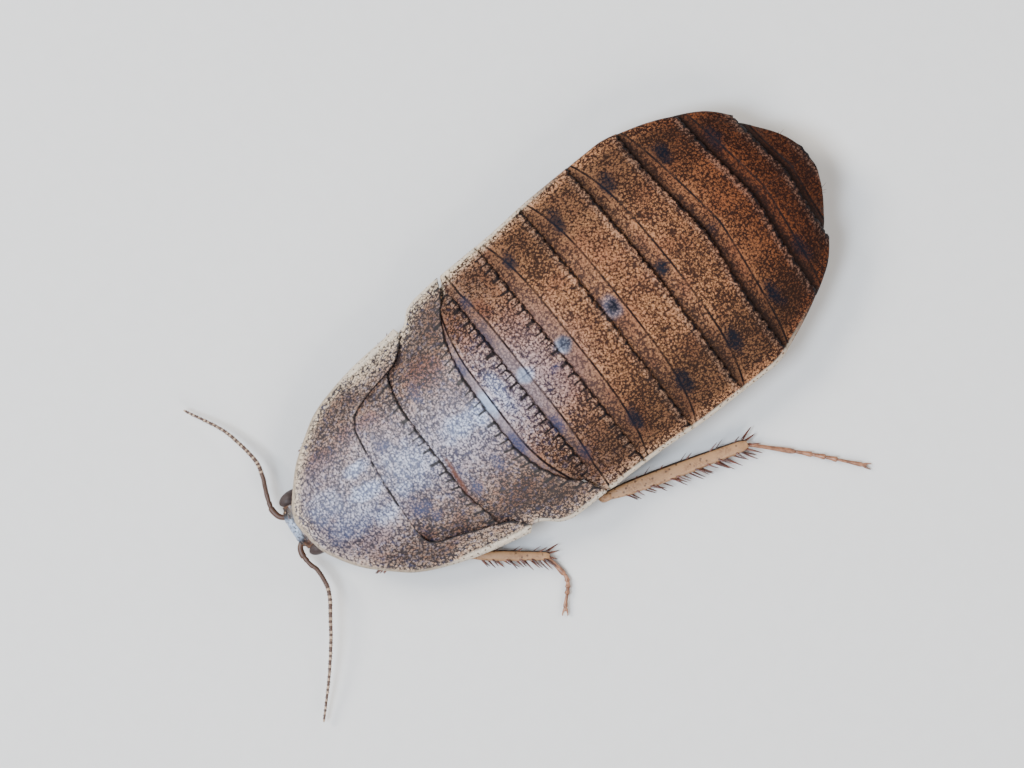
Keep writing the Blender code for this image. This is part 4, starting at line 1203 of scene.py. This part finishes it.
def add_eyes():
    """Build the two kidney-shaped compound eyes with their rows of facets."""
    s = Surface("eye_facets", roughness=0.42, coat=0.15, coat_roughness=0.2, specular=0.3)
    broad = s.noise(0.3)
    s.bump(broad, 0.004, 0.3)
    # Facets are painted lighter than the grooves between them: a painted sheen on the facets and painted
    # shade in the grooves
    dark = s.mix(broad, (0.004, 0.003, 0.004), (0.016, 0.009, 0.008))
    light = s.mix(broad, (0.03, 0.016, 0.014), (0.07, 0.045, 0.04))
    material = s.finish(s.mix(s.layer("tone").step(0.15, 0.7), dark, light))
    turn, rise = np.meshgrid(np.arange(EYE_COLUMNS) * 2 * np.pi / EYE_COLUMNS,
                             np.linspace(-0.495, 0.495, EYE_ROWS + 1) * np.pi)
    x = np.cos(rise) * np.cos(turn)
    y = np.cos(rise) * np.sin(turn)
    z = np.sin(rise)
    u = np.arctan2(y, np.abs(x) + 0.2) * 0.42 / FACET_PITCH
    v = np.arcsin(np.clip(z, -1, 1)) * 0.4 / FACET_PITCH
    row = np.round(v / FACET_ROW)
    column = np.round(u - 0.5 * (row % 2)) + 0.5 * (row % 2)
    bead = np.clip(1 - 3.2 * ((u - column) ** 2 + (v - row * FACET_ROW) ** 2), 0, 1)
    grow = 1.0 + 0.035 * bead
    notch = 0.16 * bell(z, -0.1, 0.4) * smooth_step(0.2, -0.9, x) * smooth_step(0.5, -0.6, y)
    across = EYE_CENTRE[0] + EYE_SIZES[0] * x * grow * (1 - notch)
    station = EYE_CENTRE[1] + EYE_SIZES[1] * y * grow * (1 - notch) - 0.1 * z ** 2
    height = EYE_CENTRE[2] + EYE_SIZES[2] * z * grow
    for side, name in SIDES:
        eye = Bundle()
        eye.add(loft_parts(head_point(across * side, station, height)), bead.ravel())
        eye.finish(f"eye_{name}_facets", material, "eye", f"eye_{name}")


def add_palps():
    """Build the two long five-jointed palps beside the mouth."""
    material = simple_cuticle("palp_cuticle", (0.13, 0.055, 0.028), (0.36, 0.2, 0.11), 0.4, 0.2, 0.3, 0.01)
    for side, name in SIDES:
        line = resample(sided(PALP_ROUTE, side), 100)
        palp = Bundle()
        for number, (start, end) in enumerate(PALP_JOINTS):
            points = line[np.linspace(start * 100, end * 100, 4).astype(int)]
            wide = 0.105 if number < 4 else 0.13
            palp.add(head_limb(points, (wide, wide * 0.9), club_swell, 24), number / 5)
        palp.dress(f"palp_{name}", material, "head")


# Soft body inside the shell: half width and lowest height by station, and the space above it
core_half = curve_through([
    (2.7, 1.0), (3.2, 1.7), (4.2, 2.3), (6.0, 2.9), (8.0, 3.6), (10.0, 4.5), (13.0, 5.0), (21.0, 5.2),
    (23.0, 4.8), (25.0, 3.9), (26.3, 2.8), (27.3, 1.6), (27.6, 0.9),
])
core_low = curve_through([(2.7, 1.7), (3.3, 1.35), (4.2, 1.1), (6.0, 0.95), (25.0, 0.95), (27.6, 1.3)])
CORE_ROOM = 0.62
CORE_FRONT = 2.7
CORE_REAR = 27.6
# Belly plates: front and rear station, and how far the rear edge bends forward at its sides
STERNITES = [
    (12.6, 15.0, 0.25), (14.6, 17.4, 0.25), (17.0, 20.1, 0.25), (19.7, 22.4, 0.25), (22.0, 24.2, 0.25),
    (23.8, 26.75, 0.9),
]
BELLY_FLAT_HALF = 2.4
BELLY_SIDE_RISE = 1.05
STERNITE_THICKNESS = 0.16
sternite_half = curve_through([
    (12.6, 3.6), (15.0, 4.9), (17.5, 5.25), (21.0, 5.25), (23.0, 4.75), (25.0, 3.7), (26.2, 2.5),
    (26.75, 1.6),
])
belly_low = curve_through([
    (12.6, 0.62), (14.5, 0.34), (16.2, 0.0), (21.8, 0.0), (23.6, 0.12), (25.2, 0.36), (26.75, 0.62),
])
BREAST_THICKNESS = 0.5
# Breast plates: front and rear station, half width and lowest height
BREAST_PLATES = [(3.1, 5.3, 1.25, 0.62), (5.1, 8.3, 1.3, 0.5), (8.1, 12.9, 1.5, 0.42)]


def add_underside():
    """Build the soft body inside the shell, the belly plates and the breast."""
    skin = simple_cuticle("body_membrane", (0.025, 0.011, 0.007), (0.07, 0.031, 0.017), 0.6, 0.5, 0.05, 0.03)
    belly = belly_material()
    side, station = np.meshgrid(np.linspace(-1, 1, 81), np.linspace(CORE_FRONT, CORE_REAR, 181))
    across = side * core_half(station)
    under = core_low(station) + 0.5 * np.abs(side) ** 6
    top = np.maximum(dome_height(across, station) - CORE_ROOM, under + 0.02)
    core, plates, breast = Bundle(), Bundle(), Bundle()
    core.add(shell_parts(across, station, top, under))
    core.finish("body_core", skin, "belly")
    for front, rear, bend in STERNITES:
        side, share = grid(110, 46)
        behind = front + (rear - front) * share - bend * np.abs(side) ** 3 * share
        half = sternite_half(behind)
        across = side * half
        flat = np.minimum(BELLY_FLAT_HALF, 0.6 * half)
        lift = np.clip((np.abs(across) - flat) / (half - flat), 0, 1)
        droop = smooth_step(0.5, 1.0, share) * (rear == STERNITES[-1][1])
        under = belly_low(behind) - 0.2 * droop + 0.09 * (1 - share) ** 1.2
        under = under + (BELLY_SIDE_RISE - 0.5 * droop) * lift ** 1.7
        under = under + 0.012 * soft_noise(across, behind, 0.5, 21)
        edge = np.minimum((1 - np.abs(side)) * half, (1 - share) * (rear - front))
        closing = rounding(edge, 0.07)
        top = under + STERNITE_THICKNESS
        plates.add(shell_parts(across, behind, top - closing, under + closing, False),
                   np.tile(smooth_step(0.35, 0.0, edge).ravel(), 2))
    plates.finish("belly_plates", belly, "belly", "abdomen_underside")
    for front, rear, half, low in BREAST_PLATES:
        side, share = grid(50, 40)
        width = half * (0.75 + 0.25 * np.sin(np.pi * share))
        under = low + 0.55 * np.abs(side) ** 2.2 - 0.06 * bell(side, 0.0, 0.12) + 0.1 * (1 - share)
        edge = np.minimum((1 - np.abs(side)) * width, np.minimum(share, 1 - share) * (rear - front))
        closing = rounding(edge, 0.15)
        behind = front + (rear - front) * share
        top = under + BREAST_THICKNESS
        breast.add(shell_parts(side * width, behind, top - closing, under + closing), 0.3)
    breast.finish("breast_plates", belly, "belly", "thorax_underside")


def belly_material():
    """Return the polished red-brown cuticle of the belly, darker at the plate edges."""
    s = Surface("belly_cuticle", roughness=0.35, coat=0.25, coat_roughness=0.2)
    fine = s.noise(0.12)
    colour = s.paint(
        (0.06, 0.022, 0.012), (s.noise(0.9, 3.0, 0.6).step(0.3, 0.7), (0.16, 0.065, 0.032)),
        (s.layer("tone").step(0.2, 1.0) * 0.75, (0.02, 0.009, 0.006)),
    )
    s.bump(fine, 0.02, 0.6)
    return s.finish(colour, fine * 0.2 + 0.26)


CERCUS_ROUTE = [(1.1, 26.2, 0.72), (1.28, 27.0, 0.66), (1.52, 27.8, 0.7)]
CERCUS_RINGS = 9
CERCUS_HALF = 0.24
cercus_swell = curve_through([(0, 0.75), (0.3, 1.0), (0.8, 0.6), (1.0, 0.08)])


def add_cerci():
    """Build the two short ringed feelers under the tail, with their bristles."""
    material = simple_cuticle("cercus_cuticle", (0.09, 0.035, 0.018), (0.28, 0.13, 0.065), 0.42, 0.2, 0.2,
                              0.01)
    share = np.linspace(0, 1, CERCUS_RINGS * 6 + 1)
    bulge = 0.86 + 0.2 * np.sqrt(np.abs(np.sin(np.pi * share * CERCUS_RINGS)))
    wide = CERCUS_HALF * cercus_swell(share) * bulge
    for side, name in SIDES:
        route = sided(CERCUS_ROUTE, side)
        cercus = Bundle()
        cercus.add(tube_parts(route, lambda _: wide, lambda _: wide * 0.75, 20, CERCUS_RINGS * 6))
        picks = np.random.default_rng(17)
        line = resample(route, 40)
        for number in range(4, 40):
            out = unit(np.array((picks.uniform(-1, 1), 0.3, picks.uniform(-1, 0.3))))
            cercus.add(spine_parts(line[number] + out * 0.1, out + (0, 0.4, 0), 0.3, 0.012, (0, 0.2, 0)))
        cercus.dress(f"cercus_{name}", material, "feeler")


CAMERA_AIM = (-0.14, 11.68, 3.0)
CAMERA_LEFT_TILT = math.radians(2.5)
CAMERA_FRONT_TILT = math.radians(1.0)
CAMERA_DISTANCE = 0.3
CAMERA_LENS = 240.0
SENSOR_WIDTH = 36.0
# The direction that points to the right in the picture
IMAGE_RIGHT = (0.622, 0.783, 0.0)
FLOOR_REACH = 1.5
LIGHT_AIM = (0, -0.004, 0.003)
ROOM_COLOUR = (0.86, 0.9, 1.0, 1.0)
ROOM_STRENGTH = 0.22
# Lights: name, place in metres, size in metres, power in watts, colour
LIGHTS = [
    ("sky", (-0.03, -0.15, 0.30), 0.12, 1.5, (0.74, 0.85, 1.0)),
    ("window", (-0.24, -0.14, 0.24), 0.14, 1.6, (1.0, 0.95, 0.88)),
    ("side", (0.26, -0.06, 0.20), 0.16, 0.9, (1.0, 0.95, 0.9)),
    ("rear", (0.04, 0.32, 0.22), 0.2, 0.7, (1.0, 0.96, 0.92)),
]


def aim(thing, location, target, right):
    """Turn a camera or light at a target, with its right-hand side as near as can be to right."""
    back = (Vector(location) - Vector(target)).normalized()
    up = back.cross(Vector(right)).normalized()
    turn = Matrix((up.cross(back), up, back)).transposed().to_4x4()
    thing.matrix_world = Matrix.Translation(Vector(location)) @ turn


def add_camera():
    """Look down at the animal as the photo does, with its head at the lower left."""
    target = place(*CAMERA_AIM, turned=False)
    lean = Vector((math.tan(CAMERA_LEFT_TILT), -math.tan(CAMERA_FRONT_TILT), 1.0)).normalized()
    camera = add_object("camera", bpy.data.cameras.new("camera"))
    camera.data.lens = CAMERA_LENS
    camera.data.sensor_width = SENSOR_WIDTH
    camera.data.clip_start = 0.005
    camera.data.clip_end = 5.0
    aim(camera, Vector(target) + lean * CAMERA_DISTANCE, target, IMAGE_RIGHT)
    bpy.context.scene.camera = camera


def add_stage():
    """Make the pale floor and the soft studio lights."""
    floor = bpy.data.meshes.new("floor")
    corners = [(x * FLOOR_REACH, y * FLOOR_REACH, 0) for x, y in ((-1, -1), (1, -1), (1, 1), (-1, 1))]
    floor.from_pydata(corners, [], [(0, 1, 2, 3)])
    s = Surface("floor_paper", roughness=0.85, specular=0.2)
    grain = s.noise(0.8, 3.0, 0.6)
    s.bump(grain, 0.03, 0.3)
    floor.materials.append(s.finish(s.mix(grain, (0.63, 0.62, 0.60), (0.67, 0.66, 0.64))))
    add_object("floor", floor)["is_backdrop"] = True
    for name, location, size, power, colour in LIGHTS:
        data = bpy.data.lights.new(name, "AREA")
        data.size = size
        data.energy = power
        data.color = colour
        light = add_object(name, data)
        aim(light, location, LIGHT_AIM, (1, 0, 0))
        light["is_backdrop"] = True
    world = bpy.data.worlds.new("studio")
    world.use_nodes = True
    room = world.node_tree.nodes["Background"]
    room.inputs["Color"].default_value = ROOM_COLOUR
    room.inputs["Strength"].default_value = ROOM_STRENGTH
    bpy.context.scene.world = world


add_back()
add_legs()
add_feelers()
add_head()
add_eyes()
add_palps()
add_underside()
add_cerci()
add_camera()
add_stage()

boxes = {"cad": CAD_BOX, "visual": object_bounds()}
boxes = {name: [[float(value) for value in corner] for corner in box] for name, box in boxes.items()}
